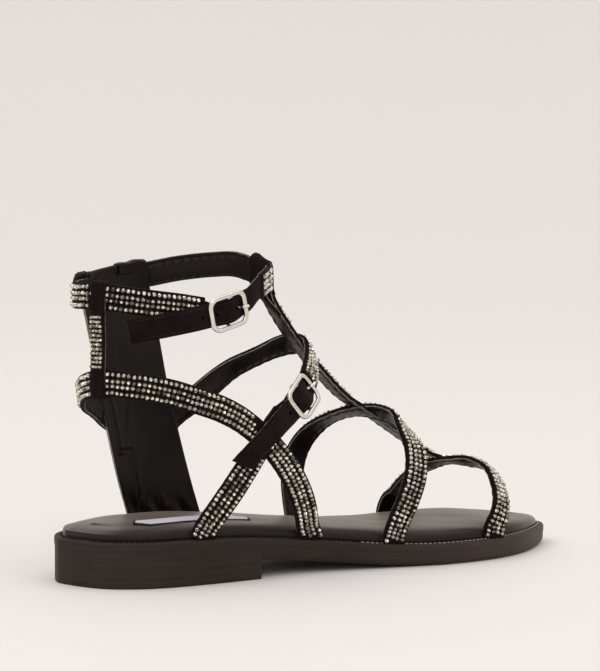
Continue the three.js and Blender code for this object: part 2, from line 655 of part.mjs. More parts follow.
// Frame: a rounded rectangle with a wider front bar and a round centre bar set lower.
function makeBuckleFrame(buckle) {
  const outer = roundedRectangle(BUCKLE_LENGTH / 2, BUCKLE_HEIGHT / 2, 3.6, THREE.Shape);
  outer.holes.push(buckleWindow(0));
  const plate = new THREE.ExtrudeGeometry(outer, {
    depth: BUCKLE_THICK - 0.7,
    bevelEnabled: true,
    bevelThickness: 0.35,
    bevelSize: 0.35,
    bevelOffset: -0.35,
    bevelSegments: 1,
    curveSegments: 5,
  });
  plate.translate(0, 0, BUCKLE_LIFT - BUCKLE_THICK / 2 + 0.35);
  const side = BUCKLE_HEIGHT / 2 - BUCKLE_BAR / 2;
  const bar = new THREE.CylinderGeometry(CENTRE_BAR_RADIUS, CENTRE_BAR_RADIUS, 2 * side, 10);
  bar.translate(0, 0, -CENTRE_BAR_DROP);
  const rise = BUCKLE_LIFT + CENTRE_BAR_DROP + CENTRE_BAR_RADIUS;
  const posts = [-1, 1].map((sign) => {
    const post = new THREE.BoxGeometry(2 * CENTRE_BAR_RADIUS, BUCKLE_BAR - 0.5, rise);
    post.translate(0, sign * side, BUCKLE_LIFT - rise / 2);
    return post;
  });
  return [bar, ...posts].reduce(
    (all, piece) => all.add(solid(placed(piece, buckle))),
    solid(placed(plate, buckle)),
  );
}

// Prong: a bent rod from the centre bar, up through the billet and onto the front bar.
function makeProng(buckle) {
  const low = -CENTRE_BAR_DROP;
  const seat = BUCKLE_LIFT + BUCKLE_THICK / 2 + PRONG_RADIUS + 0.12;
  const path = new THREE.CatmullRomCurve3([
    inBuckle(buckle, CENTRE_BAR_RADIUS + PRONG_RADIUS + 0.25, 0, low),
    inBuckle(buckle, 2.6, 0, low + 0.1),
    inBuckle(buckle, PRONG_RUN.hole - 0.2, 0, 0.9),
    inBuckle(buckle, 6.0, 0, seat - 0.5),
    inBuckle(buckle, 7.6, 0, seat),
    inBuckle(buckle, PRONG_RUN.tip, 0, seat),
  ], false, 'centripetal');
  const section = new THREE.Shape().absarc(0, 0, PRONG_RADIUS, 0, 2 * Math.PI);
  return new THREE.ExtrudeGeometry(section, { extrudePath: path, steps: 16, curveSegments: 5 });
}

// ---------------------------------------------------------------- the sandal

const finishes = {
  soleRubber: { color: 0x2a2522, roughness: 0.62, metalness: 0.0 },
  footbedLeather: { color: 0x1d1b1a, roughness: 0.42, metalness: 0.0 },
  strapSuede: { color: 0x1a1716, roughness: 0.85, metalness: 0.0 },
  satinSilver: { color: 0xcfcabf, roughness: 0.3, metalness: 1.0 },
};

function piece(name, geometry, finish) {
  const mesh = new THREE.Mesh(geometry, new THREE.MeshStandardMaterial(finishes[finish]));
  mesh.name = name;
  return mesh;
}

const upper = makeUpper();
const footbedRecesses = [...recesses, makePanel(GAP)].reduce((a, b) => a.add(b));

const sandal = new THREE.Group();
sandal.add(
  piece('outsole', geometryOf(makeOutsole()), 'soleRubber'),
  piece('footbed', geometryOf(makeFootbed(footbedRecesses)), 'footbedLeather'),
  piece('upper', geometryOf(upper), 'strapSuede'),
  piece('ankle_buckle_frame', geometryOf(makeBuckleFrame(ankleBuckle)), 'satinSilver'),
  piece('ankle_buckle_prong', makeProng(ankleBuckle), 'satinSilver'),
  piece('instep_buckle_frame', geometryOf(makeBuckleFrame(instepBuckle)), 'satinSilver'),
  piece('instep_buckle_prong', makeProng(instepBuckle), 'satinSilver'),
);

const footprint = new THREE.Box3().setFromObject(sandal);
const middle = footprint.getCenter(new THREE.Vector3());
sandal.position.set(-middle.x, -middle.y, -footprint.min.z);

const group = new THREE.Group();
group.add(sandal);
export default group;
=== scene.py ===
# %% [markdown]
# # A gladiator sandal, right foot
# The sandal has a moulded sole with a low heel, a padded footbed, and an upper of narrow bands
# set with four rows of small stones. An inner panel stands up to the ankle, and two silver
# buckles close it on the outer side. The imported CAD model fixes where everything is. This
# lesson builds the pieces that are seen: each is a surface worked out with numpy.

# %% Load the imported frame
import math

import bmesh
import bpy
import numpy as np
from mathutils import Matrix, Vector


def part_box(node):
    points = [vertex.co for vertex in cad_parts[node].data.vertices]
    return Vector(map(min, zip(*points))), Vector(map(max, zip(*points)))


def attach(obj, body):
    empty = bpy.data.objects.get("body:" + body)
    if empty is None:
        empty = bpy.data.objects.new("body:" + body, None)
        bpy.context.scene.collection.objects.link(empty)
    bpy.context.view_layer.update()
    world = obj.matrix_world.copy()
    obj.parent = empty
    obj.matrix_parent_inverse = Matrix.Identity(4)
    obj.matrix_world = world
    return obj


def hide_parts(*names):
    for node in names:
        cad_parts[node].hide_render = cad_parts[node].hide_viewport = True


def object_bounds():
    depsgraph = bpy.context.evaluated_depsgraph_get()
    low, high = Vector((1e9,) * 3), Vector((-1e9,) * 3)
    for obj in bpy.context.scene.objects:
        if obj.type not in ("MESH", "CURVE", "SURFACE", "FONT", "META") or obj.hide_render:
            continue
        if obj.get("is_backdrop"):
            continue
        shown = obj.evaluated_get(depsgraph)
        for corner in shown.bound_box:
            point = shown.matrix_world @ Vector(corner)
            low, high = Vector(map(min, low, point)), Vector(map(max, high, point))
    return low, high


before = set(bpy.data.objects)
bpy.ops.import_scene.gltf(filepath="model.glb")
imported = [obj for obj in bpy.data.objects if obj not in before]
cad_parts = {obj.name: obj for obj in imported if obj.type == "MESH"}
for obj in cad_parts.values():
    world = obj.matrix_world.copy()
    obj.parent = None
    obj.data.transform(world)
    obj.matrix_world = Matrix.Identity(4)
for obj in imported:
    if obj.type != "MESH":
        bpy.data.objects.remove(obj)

cad_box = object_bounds()
low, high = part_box("outsole")
MM = 0.001
INNER_REACH = 38.6875                 # mm, the sole's widest point on its inner side
HEEL_BACK = np.array([low.x, high.y - INNER_REACH * MM, 0.0])
print("sole from", tuple(low), "to", tuple(high))

# %% [markdown]
# ## Where lengths come from
# Shoemakers measure along the sole from the back of the heel, so every table below is in
# millimetres: x towards the toe, y towards the inner side, z up. One helper turns such points
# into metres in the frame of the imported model.

# %% Millimetres on the sole to metres in the frame
def row(points):
    """Point in metres = heel back + point in millimetres times one thousandth."""
    return np.asarray(points, float) * MM + HEEL_BACK


def unit(v):
    """Each vector divided by its own length."""
    return v / np.maximum(np.linalg.norm(v, axis=-1, keepdims=True), 1e-12)


def smoothstep(t):
    """3 t squared minus 2 t cubed, with t held between 0 and 1: it starts and ends level."""
    t = np.clip(t, 0, 1)
    return t * t * (3 - 2 * t)


# %% [markdown]
# ## The camera
# It stands on the outer side, a little behind the shoe and slightly above it, with a long lens
# so that the shoe keeps its true proportions.

# %% Camera
AZIMUTH, ELEVATION, ROLL = -30.9, 6.4, 0.2     # degrees
DISTANCE = 1060.0                              # mm from the shoe's middle
LENS, SENSOR = 128.763, 36.0                   # mm
ASIDE, BELOW = 0.0085417, 0.0471667            # tangents from the shoe's middle to the view's
TARGET = np.array([125.0, 0.0, 50.0])          # mm, the shoe's middle

az, el, roll = np.radians([AZIMUTH, ELEVATION, ROLL])
back = np.array([np.sin(az) * np.cos(el), -np.cos(az) * np.cos(el), np.sin(el)])
right = unit(np.cross(-back, [0, 0, 1]))
up = np.cross(right, -back)
look = unit(-back - right * ASIDE + up * BELOW)
right = unit(np.cross(look, [0, 0, 1]))
up = np.cross(right, look)
right, up = np.cos(roll) * right + np.sin(roll) * up, np.cos(roll) * up - np.sin(roll) * right
spot = row(TARGET + back * DISTANCE)

camera_data = bpy.data.cameras.new("camera")
camera_data.sensor_width = SENSOR
camera_data.lens = LENS
camera_data.clip_end = 50.0
camera = bpy.data.objects.new("camera", camera_data)
matrix = np.eye(4)
matrix[:3, 0], matrix[:3, 1], matrix[:3, 2], matrix[:3, 3] = right, up, -look, spot
camera.matrix_world = Matrix(matrix.tolist())
bpy.context.scene.collection.objects.link(camera)
bpy.context.scene.camera = camera
print("camera at", np.round(spot, 3), "lens", round(camera_data.lens, 1), "mm")

# %% [markdown]
# ## Finishes
# Leather, suede and rubber differ mostly in how light scatters from their surface. Three small
# node groups make the patterns that several finishes share: a fine grain, fine streaks, and
# random wear. A group only puts out values; each material keeps its own shader.

# %% Node helpers
def new_group(name, inputs, outputs):
    """An empty node group with number inputs {name: start value} and number outputs."""
    group = bpy.data.node_groups.new(name, "ShaderNodeTree")
    for key, value in inputs.items():
        socket = group.interface.new_socket(key, in_out="INPUT", socket_type="NodeSocketFloat")
        socket.default_value = value
    for key in outputs:
        group.interface.new_socket(key, in_out="OUTPUT", socket_type="NodeSocketFloat")
    return group


def node(tree, kind, **values):
    """A new node, with its settings or its input sockets set by name."""
    made = tree.nodes.new(kind)
    for key, value in values.items():
        if hasattr(made, key):
            setattr(made, key, value)
        else:
            made.inputs[key.replace("_", " ")].default_value = value
    return made


def math_node(tree, operation, a, b=None, c=None):
    """operation(a, b, c), where each is a socket or a number."""
    made = tree.nodes.new("ShaderNodeMath")
    made.operation = operation
    for index, value in enumerate([a, b, c]):
        if value is None:
            continue
        if isinstance(value, (int, float)):
            made.inputs[index].default_value = value
        else:
            tree.links.new(value, made.inputs[index])
    return made.outputs[0]


# %% Shared patterns: grain, streaks, wear
def make_grain():
    """Cells of skin: distance to the cell border, softened by a finer noise."""
    group = new_group("skin_grain", {"Size": 0.8}, ["Height", "Tone"])
    inside = group.nodes.new("NodeGroupInput")
    out = group.nodes.new("NodeGroupOutput")
    where = node(group, "ShaderNodeTexCoord")
    scale = math_node(group, "DIVIDE", 1000.0, inside.outputs["Size"])
    cells = node(group, "ShaderNodeTexVoronoi", feature="DISTANCE_TO_EDGE")
    fine = node(group, "ShaderNodeTexNoise", Detail=3.0)
    for texture in (cells, fine):
        group.links.new(where.outputs["Object"], texture.inputs["Vector"])
    group.links.new(scale, cells.inputs["Scale"])
    group.links.new(math_node(group, "MULTIPLY", scale, 1.7), fine.inputs["Scale"])
    rounded = math_node(group, "SMOOTH_MIN", cells.outputs["Distance"], 0.28, 0.2)
    height = math_node(group, "MULTIPLY_ADD", fine.outputs["Fac"], 0.25, rounded)
    group.links.new(height, out.inputs["Height"])
    group.links.new(fine.outputs["Fac"], out.inputs["Tone"])
    return group


def make_streaks():
    """Noise stretched along the sole: very fine in height, long in x and y."""
    group = new_group("level_streaks", {"Fineness": 700.0}, ["Value"])
    inside = group.nodes.new("NodeGroupInput")
    out = group.nodes.new("NodeGroupOutput")
    where = node(group, "ShaderNodeTexCoord")
    flat = node(group, "ShaderNodeMapping", Scale=(0.05, 0.05, 1.0))
    noise = node(group, "ShaderNodeTexNoise", Detail=4.0, Roughness=0.65)
    group.links.new(where.outputs["Object"], flat.inputs["Vector"])
    group.links.new(flat.outputs["Vector"], noise.inputs["Vector"])
    group.links.new(inside.outputs["Fineness"], noise.inputs["Scale"])
    group.links.new(noise.outputs["Fac"], out.inputs["Value"])
    return group


def make_patches():
    """Slow noise squeezed towards 0 and 1, for patches of wear, dust or nap."""
    group = new_group("slow_patches", {"Size": 20.0, "Softness": 0.3}, ["Value"])
    inside = group.nodes.new("NodeGroupInput")
    out = group.nodes.new("NodeGroupOutput")
    where = node(group, "ShaderNodeTexCoord")
    noise = node(group, "ShaderNodeTexNoise", Detail=5.0, Roughness=0.6)
    group.links.new(where.outputs["Object"], noise.inputs["Vector"])
    group.links.new(math_node(group, "DIVIDE", 1000.0, inside.outputs["Size"]),
                    noise.inputs["Scale"])
    centred = math_node(group, "SUBTRACT", noise.outputs["Fac"], 0.5)
    spread = math_node(group, "DIVIDE", centred, inside.outputs["Softness"])
    shifted = math_node(group, "ADD", spread, 0.5)
    group.links.new(math_node(group, "MINIMUM", math_node(group, "MAXIMUM", shifted, 0.0), 1.0),
                    out.inputs["Value"])
    return group


GRAIN, STREAKS, PATCHES = make_grain(), make_streaks(), make_patches()
print("node groups:", [g.name for g in (GRAIN, STREAKS, PATCHES)])

# %% A material from its parts
def place_group(tree, group, **values):
    """A shared pattern placed in a material, with this material's own input values."""
    made = tree.nodes.new("ShaderNodeGroup")
    made.node_tree = group
    for key, value in values.items():
        made.inputs[key].default_value = value
    return made


def mix_colour(tree, factor, first, second):
    """A colour that goes from first to second as factor goes from 0 to 1."""
    made = tree.nodes.new("ShaderNodeMix")
    made.data_type = "RGBA"
    tree.links.new(factor, made.inputs[0])
    made.inputs[6].default_value = (*first, 1.0)
    made.inputs[7].default_value = (*second, 1.0)
    return made.outputs[2]


def ramp(tree, value, low_out, high_out):
    """low_out plus value times (high_out minus low_out)."""
    return math_node(tree, "MULTIPLY_ADD", value, high_out - low_out, low_out)


def new_material(name, **shader_values):
    """A material with a Principled shader whose named sockets hold plain values."""
    material = bpy.data.materials.new(name)
    material.use_nodes = True
    tree = material.node_tree
    shader = tree.nodes["Principled BSDF"]
    for key, value in shader_values.items():
        shader.inputs[key.replace("_", " ")].default_value = value
    return material, tree, shader


def add_bump(tree, shader, height, depth_mm, strength=1.0):
    """Height times depth in millimetres tilts the normal."""
    bump = tree.nodes.new("ShaderNodeBump")
    bump.inputs["Strength"].default_value = strength
    bump.inputs["Distance"].default_value = depth_mm * MM
    tree.links.new(height, bump.inputs["Height"])
    tree.links.new(bump.outputs["Normal"], shader.inputs["Normal"])


# %% [markdown]
# Black suede is not flat black: its nap catches light at grazing angles, which is what Sheen
# does, and rubbing leaves patches a little lighter than others.

# %% Suede, lining and cut edge
def make_suede():
    """Nearly black, with slow patches of wear, a fine nap in the height, and sheen."""
    material, tree, shader = new_material(
        "black_suede", Roughness=0.95, Sheen_Weight=0.07, Sheen_Roughness=0.5,
        Sheen_Tint=(0.60, 0.50, 0.44, 1.0), Specular_IOR_Level=0.05)
    patches = place_group(tree, PATCHES, Size=7.0, Softness=0.5)
    dark, wear_and_painted_light = (0.0045, 0.0030, 0.0026), (0.0125, 0.0088, 0.0076)
    tree.links.new(mix_colour(tree, patches.outputs["Value"], dark, wear_and_painted_light),
                   shader.inputs["Base Color"])
    nap = node(tree, "ShaderNodeTexNoise", Scale=5200.0, Detail=4.0, Roughness=0.7)
    where = node(tree, "ShaderNodeTexCoord")
    tree.links.new(where.outputs["Object"], nap.inputs["Vector"])
    add_bump(tree, shader, nap.outputs["Fac"], 0.16, 0.8)
    return material


def make_smooth_leather(name, dark, light, rough, grain_size, grain_depth, gloss=0.3, sheen=0.0):
    """Finished leather: cells of grain in the height, slow patches in colour and gloss."""
    material, tree, shader = new_material(name, Specular_IOR_Level=gloss)
    grain = place_group(tree, GRAIN, Size=grain_size)
    patches = place_group(tree, PATCHES, Size=16.0, Softness=0.45)
    tree.links.new(mix_colour(tree, patches.outputs["Value"], dark, light),
                   shader.inputs["Base Color"])
    tree.links.new(ramp(tree, patches.outputs["Value"], rough - 0.05, rough + 0.07),
                   shader.inputs["Roughness"])
    shader.inputs["Specular Tint"].default_value = (1.0, 0.88, 0.82, 1.0)
    shader.inputs["Sheen Weight"].default_value = sheen
    shader.inputs["Sheen Roughness"].default_value = 0.35
    shader.inputs["Sheen Tint"].default_value = (1.0, 0.84, 0.71, 1.0)
    add_bump(tree, shader, grain.outputs["Height"], grain_depth, 0.7)
    return material


def make_cut_edge():
    """The raw edge between outer and lining: pale fibre under uneven black paint."""
    material, tree, shader = new_material("cut_edge", Roughness=0.6)
    patches = place_group(tree, PATCHES, Size=2.2, Softness=0.35)
    tree.links.new(
        mix_colour(tree, patches.outputs["Value"], (0.045, 0.038, 0.034), (0.30, 0.255, 0.225)),
        shader.inputs["Base Color"])
    return material


SUEDE = make_suede()
LINING = make_smooth_leather("black_lining", (0.0040, 0.0028, 0.0025), (0.0085, 0.0062, 0.0056),
                             0.34, 0.9, 0.09, gloss=0.22, sheen=0.02)
FOOTBED_LEATHER = make_smooth_leather("footbed_leather", (0.0075, 0.0056, 0.0050),
                                      (0.014, 0.0108, 0.0098), 0.39, 0.7, 0.035, gloss=0.24,
                                      sheen=0.44)
CUT_EDGE = make_cut_edge()

# %% [markdown]
# A small stone is a faceted dome on a mirror foil. Most facets look dark and a few flash, and
# which ones flash changes as it turns. Each facet carries a random number, and the material
# turns it into a paler or smokier metal: painted glints and painted dark reflections, so that
# the glitter does not depend on luck.

# %% Stones, silver, rubber, thread, label, floor
def make_stone():
    """Each facet's own number picks its colour, from smoke through silver to amber: painted
    dark reflections, painted glints and a painted amber flash.
    """
    material, tree, shader = new_material("smoky_stone", Roughness=0.14, Metallic=0.85,
                                          Coat_Weight=0.4, Coat_Roughness=0.03)
    painted_glint = node(tree, "ShaderNodeAttribute", attribute_name="painted_glint")
    curve = tree.nodes.new("ShaderNodeValToRGB")
    stops = [(0.0, (0.022, 0.018, 0.015)), (0.25, (0.12, 0.105, 0.088)),
             (0.5, (0.50, 0.455, 0.385)), (0.8, (0.95, 0.90, 0.79)),
             (0.955, (0.98, 0.94, 0.84)), (1.0, (0.80, 0.50, 0.26))]
    while len(curve.color_ramp.elements) < len(stops):
        curve.color_ramp.elements.new(0.5)
    for element, (place, colour) in zip(curve.color_ramp.elements, stops):
        element.position = place
        element.color = (*colour, 1.0)
    tree.links.new(painted_glint.outputs["Fac"], curve.inputs["Fac"])
    tree.links.new(curve.outputs["Color"], shader.inputs["Base Color"])
    return material


def make_silver():
    """Bare metal: slow patches in colour and gloss, very fine brushing in the height."""
    material, tree, shader = new_material("satin_silver", Metallic=1.0)
    patches = place_group(tree, PATCHES, Size=3.0, Softness=0.6)
    tree.links.new(
        mix_colour(tree, patches.outputs["Value"], (0.66, 0.625, 0.565), (0.82, 0.785, 0.72)),
        shader.inputs["Base Color"])
    tree.links.new(ramp(tree, patches.outputs["Value"], 0.17, 0.26), shader.inputs["Roughness"])
    fine = place_group(tree, STREAKS, Fineness=9000.0)
    add_bump(tree, shader, fine.outputs["Value"], 0.01, 0.5)
    return material


def make_rubber(name, dark, light, streak_depth):
    """Level streaks and slow patches, plus painted light that grows in proportion to x towards the
    toe.
    """
    material, tree, shader = new_material(name, Specular_IOR_Level=0.2,
                                          Specular_Tint=(1.0, 0.88, 0.82, 1.0))
    streaks = place_group(tree, STREAKS, Fineness=650.0)
    patches = place_group(tree, PATCHES, Size=26.0, Softness=0.5)
    where = node(tree, "ShaderNodeTexCoord")
    split = node(tree, "ShaderNodeSeparateXYZ")
    tree.links.new(where.outputs["Object"], split.inputs[0])
    # painted light: the rubber grows paler towards the toe, where more light falls on the sole's
    # side
    painted_toe_light = math_node(tree, "MULTIPLY_ADD", split.outputs["X"], 5.0, -0.02)
    wear_and_painted_light = math_node(tree, "MAXIMUM", painted_toe_light, 0.0)
    both = math_node(tree, "MULTIPLY_ADD", patches.outputs["Value"], 0.23,
                     math_node(tree, "MULTIPLY", streaks.outputs["Value"], 0.38))
    both = math_node(tree, "ADD", both, wear_and_painted_light)
    tree.links.new(mix_colour(tree, both, dark, light), shader.inputs["Base Color"])
    tree.links.new(ramp(tree, patches.outputs["Value"], 0.50, 0.62), shader.inputs["Roughness"])
    add_bump(tree, shader, streaks.outputs["Value"], streak_depth, 0.6)
    return material


def make_welt():
    """Rough cut fibre with brown and pale specks."""
    material, tree, shader = new_material("rough_welt", Roughness=0.9)
    specks = place_group(tree, PATCHES, Size=0.9, Softness=0.22)
    tree.links.new(
        mix_colour(tree, specks.outputs["Value"], (0.007, 0.006, 0.0055), (0.055, 0.043, 0.036)),
        shader.inputs["Base Color"])
    add_bump(tree, shader, specks.outputs["Value"], 0.25, 0.8)
    return material


def make_plain(name, dark, light, size, rough, gloss=0.5):
    """Two close colours in slow patches, which also rise a little."""
    material, tree, shader = new_material(name, Roughness=rough, Specular_IOR_Level=gloss)
    patches = place_group(tree, PATCHES, Size=size, Softness=0.5)
    tree.links.new(mix_colour(tree, patches.outputs["Value"], dark, light),
                   shader.inputs["Base Color"])
    add_bump(tree, shader, patches.outputs["Value"], 0.05, 0.5)
    return material


def make_label():
    """Woven tape: two sets of ribs at right angles, one thread apart."""
    material, tree, shader = new_material("woven_label", Roughness=0.85, Sheen_Weight=0.2)
    where = node(tree, "ShaderNodeTexCoord")
    waves = []
    for direction in ("X", "Y"):
        wave = node(tree, "ShaderNodeTexWave", bands_direction=direction, Scale=330.0)
        tree.links.new(where.outputs["Object"], wave.inputs["Vector"])
        waves.append(wave.outputs["Fac"])
    weave = math_node(tree, "MULTIPLY", *waves)
    tree.links.new(mix_colour(tree, weave, (0.55, 0.54, 0.62), (0.78, 0.77, 0.84)),
                   shader.inputs["Base Color"])
    add_bump(tree, shader, weave, 0.08, 0.6)
    return material


STONE, SILVER, WELT, LABEL = make_stone(), make_silver(), make_welt(), make_label()
RUBBER = make_rubber("sole_rubber", (0.0060, 0.0040, 0.0032), (0.064, 0.0465, 0.0395), 0.06)
THREAD = make_plain("dark_thread", (0.005, 0.004, 0.0035), (0.014, 0.012, 0.011), 0.6, 0.85)
# painted shade: near-black discs that stand for the shade inside punched holes
HOLE_SHADE = make_plain("hole_shadow", (0.0012, 0.001, 0.001), (0.002, 0.0018, 0.0016), 1.0, 1.0,
                  gloss=0.0)
# painted light: a pale thread used only for the rim stitches round the forefoot; round the heel the
# same stitches take the dark welt finish
PAINTED_LIT_THREAD = make_plain("painted_lit_thread", (0.10, 0.085, 0.072), (0.50, 0.45, 0.39), 0.8, 0.5)
print("finishes:", len(bpy.data.materials))

# %% [markdown]
# ## Turning arrays into meshes
# Every piece is worked out as whole arrays of points. These helpers put points and faces into
# Blender, merge seams and poles that meet, and turn all faces outwards. Blender's own
# recalculation can turn a thin flat shell inside out. The volume shows it: a closed shell whose
# faces look inwards has a negative one.

# %% Mesh helpers
def mesh_object(name, points, corners, sizes, materials, which=None, painted_glints=None, flat=False):
    """points in mm, corners = vertex numbers of all faces in a row, sizes = corners per face."""
    mesh = bpy.data.meshes.new(name)
    mesh.vertices.add(len(points))
    mesh.vertices.foreach_set("co", row(points).astype(np.float32).ravel())
    mesh.loops.add(len(corners))
    mesh.loops.foreach_set("vertex_index", np.asarray(corners, np.int32))
    mesh.polygons.add(len(sizes))
    starts = np.concatenate([[0], np.cumsum(sizes)[:-1]]).astype(np.int32)
    mesh.polygons.foreach_set("loop_start", starts)
    for material in materials:
        mesh.materials.append(material)
    if which is not None:
        mesh.polygons.foreach_set("material_index", np.asarray(which, np.int32))
    mesh.polygons.foreach_set("use_smooth", np.full(len(sizes), not flat))
    # painted glints: one number per face, which the stone finish turns into painted reflections
    if painted_glints is not None:
        painted_glint = mesh.attributes.new("painted_glint", "FLOAT", "FACE")
        painted_glint.data.foreach_set("value", np.asarray(painted_glints, np.float32))
    mesh.update(calc_edges=True)
    made = bpy.data.objects.new(name, mesh)
    bpy.context.scene.collection.objects.link(made)
    return made


def close_up(made, crease=40):
    """Merges points that meet, turns faces outwards, and keeps folds over crease degrees sharp.
    A shell is closed when each edge serves two faces, so it has twice as many corners as edges."""
    shell = bmesh.new()
    shell.from_mesh(made.data)
    bmesh.ops.remove_doubles(shell, verts=shell.verts, dist=2e-6)
    bmesh.ops.recalc_face_normals(shell, faces=shell.faces)
    inside_out = shell.calc_volume(signed=True) < 0
    shell.to_mesh(made.data)
    shell.free()
    if inside_out and len(made.data.loops) == 2 * len(made.data.edges):
        made.data.flip_normals()
    made.data.set_sharp_from_angle(angle=math.radians(crease))
    return made


def ring_faces(rings, around, closed=False):
    """Quads between neighbouring rings of `around` points each; closed joins last to first."""
    grid = np.arange(rings * around).reshape(rings, around)
    if closed:
        grid = np.vstack([grid, grid[:1]])
    beside = np.roll(grid, -1, axis=1)
    quads = np.stack([grid[:-1], beside[:-1], beside[1:], grid[1:]], axis=-1)
    return quads.reshape(-1, 4)


def loft(name, rings, materials, slots=None, closed=False, crease=40):
    """A closed skin over rings (n, m, 3); slots gives a material number to each column."""
    count, around = rings.shape[:2]
    quads = ring_faces(count, around, closed)
    corners, sizes = quads.ravel(), np.full(len(quads), 4)
    bands = count if closed else count - 1
    which = np.tile(np.zeros(around, int) if slots is None else np.asarray(slots), bands)
    if not closed:
        last = (count - 1) * around
        corners = np.concatenate([corners, np.arange(around)[::-1], last + np.arange(around)])
        sizes = np.concatenate([sizes, [around, around]])
        which = np.concatenate([which, [0, 0]])
    return close_up(mesh_object(name, rings.reshape(-1, 3), corners, sizes, materials, which),
                    crease)


def keep(piece, node=None):
    """The piece moves with the sandal, and may stand for a CAD solid, which is then hidden."""
    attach(piece, "root")
    if node:
        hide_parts(node)
    return piece


# %% [markdown]
# ## The sole's outline and heights
# A sole is drawn on paper first: its outline from above, then how its top face falls from the
# heel to the ball. The tables hold that drawing. The outline is sampled in pairs, one point on
# each side at the same length, so that rings can close along the middle line later.

# %% Smooth curves through a few rows
def through(rows, step=1.0, closed=False, fine=24):
    """Cubic pieces through the rows, with tangents weighted by the root of the gaps, then
    resampled to even steps. Columns after the third are carried along."""
    p = np.asarray(rows, float)
    ends = (p[-1], p[:2]) if closed else (2 * p[0] - p[1], 2 * p[-1] - p[-2])
    q = np.vstack([ends[0], p, ends[1]])
    gaps = np.sqrt(np.linalg.norm(np.diff(q[:, :3], axis=0), axis=1))[:, None, None]
    n = len(q) - 3
    t = np.linspace(0, 1, fine, endpoint=False)[None, :, None]
    a, b, c, d = (q[i:i + n, None] for i in range(4))
    d0, d1, d2 = (gaps[i:i + n] for i in range(3))
    leave = ((b - a) / d0 - (c - a) / (d0 + d1) + (c - b) / d1) * d1
    reach = ((c - b) / d1 - (d - b) / (d1 + d2) + (d - c) / d2) * d1
    path = ((2 * t**3 - 3 * t**2 + 1) * b + (t**3 - 2 * t**2 + t) * leave
            + (3 * t**2 - 2 * t**3) * c + (t**3 - t**2) * reach)
    path = np.vstack([path.reshape(-1, p.shape[1]), p[0] if closed else p[-1]])
    length = np.concatenate([[0], np.cumsum(np.linalg.norm(np.diff(path[:, :3], axis=0), axis=1))])
    count = max(2, int(round(length[-1] / step)))
    at = np.linspace(0, length[-1], count + 1)[:count if closed else None]
    return np.stack([np.interp(at, length, column) for column in path.T], axis=1)


# %% Sole tables: distance from the heel back, outer edge, inner edge (mm)
SOLE_OUTLINE = np.array([
    (0, 3, 5), (3, -7.5, 14), (10, -19.8, 22.5), (24, -28.4, 28), (44, -31, 30), (72, -30, 28.6),
    (98, -28, 26.4), (122, -30, 28), (147, -34, 32.6), (172, -36.9, 37.4), (195, -34.8, 38.6),
    (215, -27.8, 35.8), (233, -15, 29), (245.5, -2, 18.5)])
TOE_TIP = (250.0, 8.5, 0.0)
HEEL_TOP, BALL_TOP, SLAB = 18.9, 9.4, 9.4
DROP_START, DROP_END = 45.0, 170.0
SPRING_START, TOE_SPRING, SOLE_LENGTH = 214.0, 0.5, 250.0
HEEL_BREAST = 79.0
GAP = 0.3

outer_edge = np.column_stack([SOLE_OUTLINE[:, 0], SOLE_OUTLINE[:, 1], np.zeros(14)])
inner_edge = np.column_stack([SOLE_OUTLINE[:, 0], SOLE_OUTLINE[:, 2], np.zeros(14)])
EDGE = through(np.vstack([outer_edge, TOE_TIP, inner_edge[::-1]]), 0.5, closed=True)
toe_at, heel_at = np.argmax(EDGE[:, 0]), np.argmin(EDGE[:, 0])
EDGE = np.roll(EDGE, -heel_at, axis=0)
toe_at = (toe_at - heel_at) % len(EDGE)
OUTER, INNER = EDGE[:toe_at + 1], np.vstack([EDGE[toe_at:], EDGE[:1]])[::-1]


def top_height(x):
    """Heel height, minus a smooth fall to the ball, plus a parabola that lifts the toe."""
    fall = smoothstep((x - DROP_START) / (DROP_END - DROP_START))
    lift = np.maximum(0, (x - SPRING_START) / (SOLE_LENGTH - SPRING_START)) ** 2
    return HEEL_TOP + (BALL_TOP - HEEL_TOP) * fall + TOE_SPRING * lift


TOE_THINNING = 1.5                     # mm taken off the slab at the toe tip


def slab_bottom(x):
    """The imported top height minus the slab's thickness."""
    return top_height(x) - SLAB


def rim_top(x):
    """The slab's real top: the thickness shrinks as a parabola towards the toe tip."""
    ahead = np.maximum(0, (x - SPRING_START) / (SOLE_LENGTH - SPRING_START))
    return top_height(x) - TOE_THINNING * ahead**2


def edge_at(x, side):
    """The outline's y at a distance along the sole, outer side -1 or inner side +1."""
    line = OUTER if side < 0 else INNER
    return np.interp(x, line[:, 0], line[:, 1])


def paired_outline(pairs):
    """x = half the length times (1 - cos angle), once along the outer edge and once back."""
    angle = (np.arange(pairs) + 0.5) / pairs * np.pi
    low_x, high_x = EDGE[:, 0].min(), EDGE[:, 0].max()
    x = low_x + (high_x - low_x) * (1 - np.cos(angle)) / 2
    outer, inner = (np.column_stack([x, edge_at(x, side)]) for side in (-1, 1))
    return np.vstack([outer, inner[::-1]])


def inset(outline, distance):
    """Each point moved inwards along its own normal."""
    along = unit(np.roll(outline, -1, axis=0) - np.roll(outline, 1, axis=0))
    return outline + np.column_stack([-along[:, 1], along[:, 0]]) * distance


SOLE_EDGE = paired_outline(230)
print("outline points:", len(SOLE_EDGE), "length", round(float(EDGE[:, 0].max()), 2), "mm")


# %% [markdown]
# ## Outsole: a moulded slab with a low stacked heel
# The slab is one profile carried round the outline: a rounded lower corner, a side with faint
# stack lines, a raised rim, and the ledge that the footbed sits on. The heel block stands under
# it, and is a loft of the heel part of the same outline.

